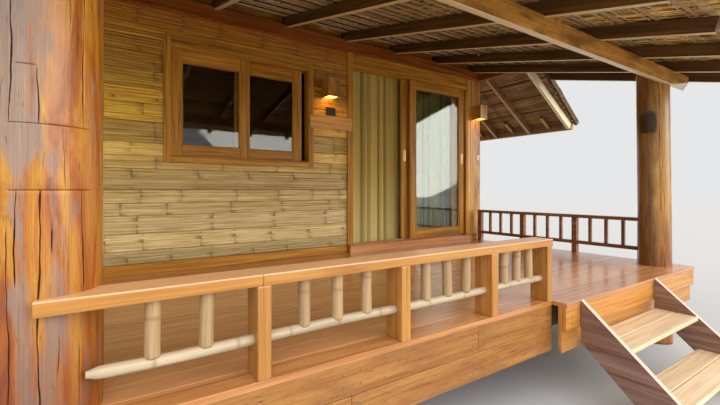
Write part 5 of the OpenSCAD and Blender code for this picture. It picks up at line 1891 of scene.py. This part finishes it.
class STILT_HOUSE_OT_stage(bpy.types.Operator):
    """Sets the floor, the soft light and the camera at the photograph's viewing angle"""

    bl_idname = "stilt_house.stage"
    bl_label = "Floor, light and camera"

    def execute(self, context):
        scene = context.scene
        colours = scene.stilt_house_colours
        reach = 60.0
        x, y = np.meshgrid(np.linspace(-reach, reach, 3), np.linspace(-reach, reach, 3), indexing="xy")
        floor_mesh = bpy.data.meshes.new("studio_floor")
        corners, _ = quads_of(1, 3, 3, False)
        floor_mesh.from_pydata(
            np.stack([x, y, np.full(x.shape, -0.002)], -1).reshape(-1, 3).tolist(), [], corners.tolist()
        )
        floor = bpy.data.objects.new("studio_floor", floor_mesh)
        scene.collection.objects.link(floor)
        paint = Finish("studio_floor_paint", Roughness=0.9, Base_Color=tuple(colours.floor))
        floor_mesh.materials.append(paint.done())

        world = bpy.data.worlds.new("studio_sky")
        scene.world = world
        world.use_nodes = True
        tree = world.node_tree
        background = tree.nodes["Background"]
        path = add_node(tree, "LightPath", {})
        seen = add_node(
            tree, "Math", {0: (path, "Is Camera Ray"), 1: (path, "Is Glossy Ray")}, operation="MAXIMUM"
        )
        seen = add_node(tree, "Math", {0: (seen, 0), 1: (path, "Is Transmission Ray")}, operation="MAXIMUM")
        sockets = {0: (seen, 0), 6: linear("#F4F1EA"), 7: tuple(colours.sky)}
        shown = add_node(tree, "Mix", sockets, data_type="RGBA")
        tree.links.new(shown.outputs[2], background.inputs["Color"])
        background.inputs["Strength"].default_value = 0.9

        for name, height, azimuth, spread, strength, tint in (
            ("key_light", 22.0, 34.0, 50.0, 2.0, "#FFF8EC"),
            ("fill_light", 40.0, -24.0, 60.0, 2.0, "#FAFBFF"),
        ):
            light = bpy.data.lights.new(name, "SUN")
            light.angle = np.radians(spread)
            light.energy = strength
            light.color = linear(tint)[:3]
            lamp = bpy.data.objects.new(name, light)
            lamp.location = (0.0, -12.0, 8.0)
            lamp.rotation_euler = (np.radians(90.0 - height), 0.0, np.radians(azimuth))
            scene.collection.objects.link(lamp)

        lens = bpy.data.cameras.new("photo_view")
        lens.sensor_width = 36.0
        lens.lens = 20.15
        lens.shift_y = -0.0174
        lens.clip_end = 200.0
        camera = bpy.data.objects.new("photo_view", lens)
        eye_height, turned_right = 1.56, 34.3
        camera.location = (-2.387, -5.3775, eye_height)
        camera.rotation_euler = (np.radians(90.0), 0.0, np.radians(-turned_right))
        scene.collection.objects.link(camera)
        scene.camera = camera
        scene.view_settings.view_transform = "Standard"
        return {"FINISHED"}


class STILT_HOUSE_PT_panel(bpy.types.Panel):
    """Lists the pieces of the stilt house in the sidebar"""

    bl_idname = "STILT_HOUSE_PT_panel"
    bl_label = "Stilt House"
    bl_space_type = "VIEW_3D"
    bl_region_type = "UI"
    bl_category = "Stilt House"

    def draw(self, context):
        layout = self.layout
        for group in (context.scene.stilt_house_sizes, context.scene.stilt_house_colours):
            column = layout.column(align=True)
            for name in group.__annotations__:
                column.prop(group, name)
        column = layout.column(align=True)
        for operator in OPERATORS:
            column.operator(operator.bl_idname)


OPERATORS = (
    STILT_HOUSE_OT_finishes,
    STILT_HOUSE_OT_stage,
    STILT_HOUSE_OT_walls,
    STILT_HOUSE_OT_decks,
    STILT_HOUSE_OT_frame_timbers,
    STILT_HOUSE_OT_joinery,
    STILT_HOUSE_OT_posts,
    STILT_HOUSE_OT_railing,
    STILT_HOUSE_OT_stairs,
    STILT_HOUSE_OT_curtain,
    STILT_HOUSE_OT_fittings,
    STILT_HOUSE_OT_veranda_thatch,
    STILT_HOUSE_OT_roof_thatch,
)
CLASSES = (StiltHouseSizes, StiltHouseColours, *OPERATORS, STILT_HOUSE_PT_panel)


def register():
    """Adds the classes and the two groups of settings to Blender."""
    for cls in CLASSES:
        bpy.utils.register_class(cls)
    bpy.types.Scene.stilt_house_sizes = bpy.props.PointerProperty(type=StiltHouseSizes)
    bpy.types.Scene.stilt_house_colours = bpy.props.PointerProperty(type=StiltHouseColours)


def unregister():
    """Takes them out again."""
    del bpy.types.Scene.stilt_house_colours
    del bpy.types.Scene.stilt_house_sizes
    for cls in reversed(CLASSES):
        bpy.utils.unregister_class(cls)


def main():
    """Registers the add-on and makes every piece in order."""
    register()
    for operator in OPERATORS:
        group, name = operator.bl_idname.split(".")
        getattr(getattr(bpy.ops, group), name)()


if __name__ == "__main__":
    main()
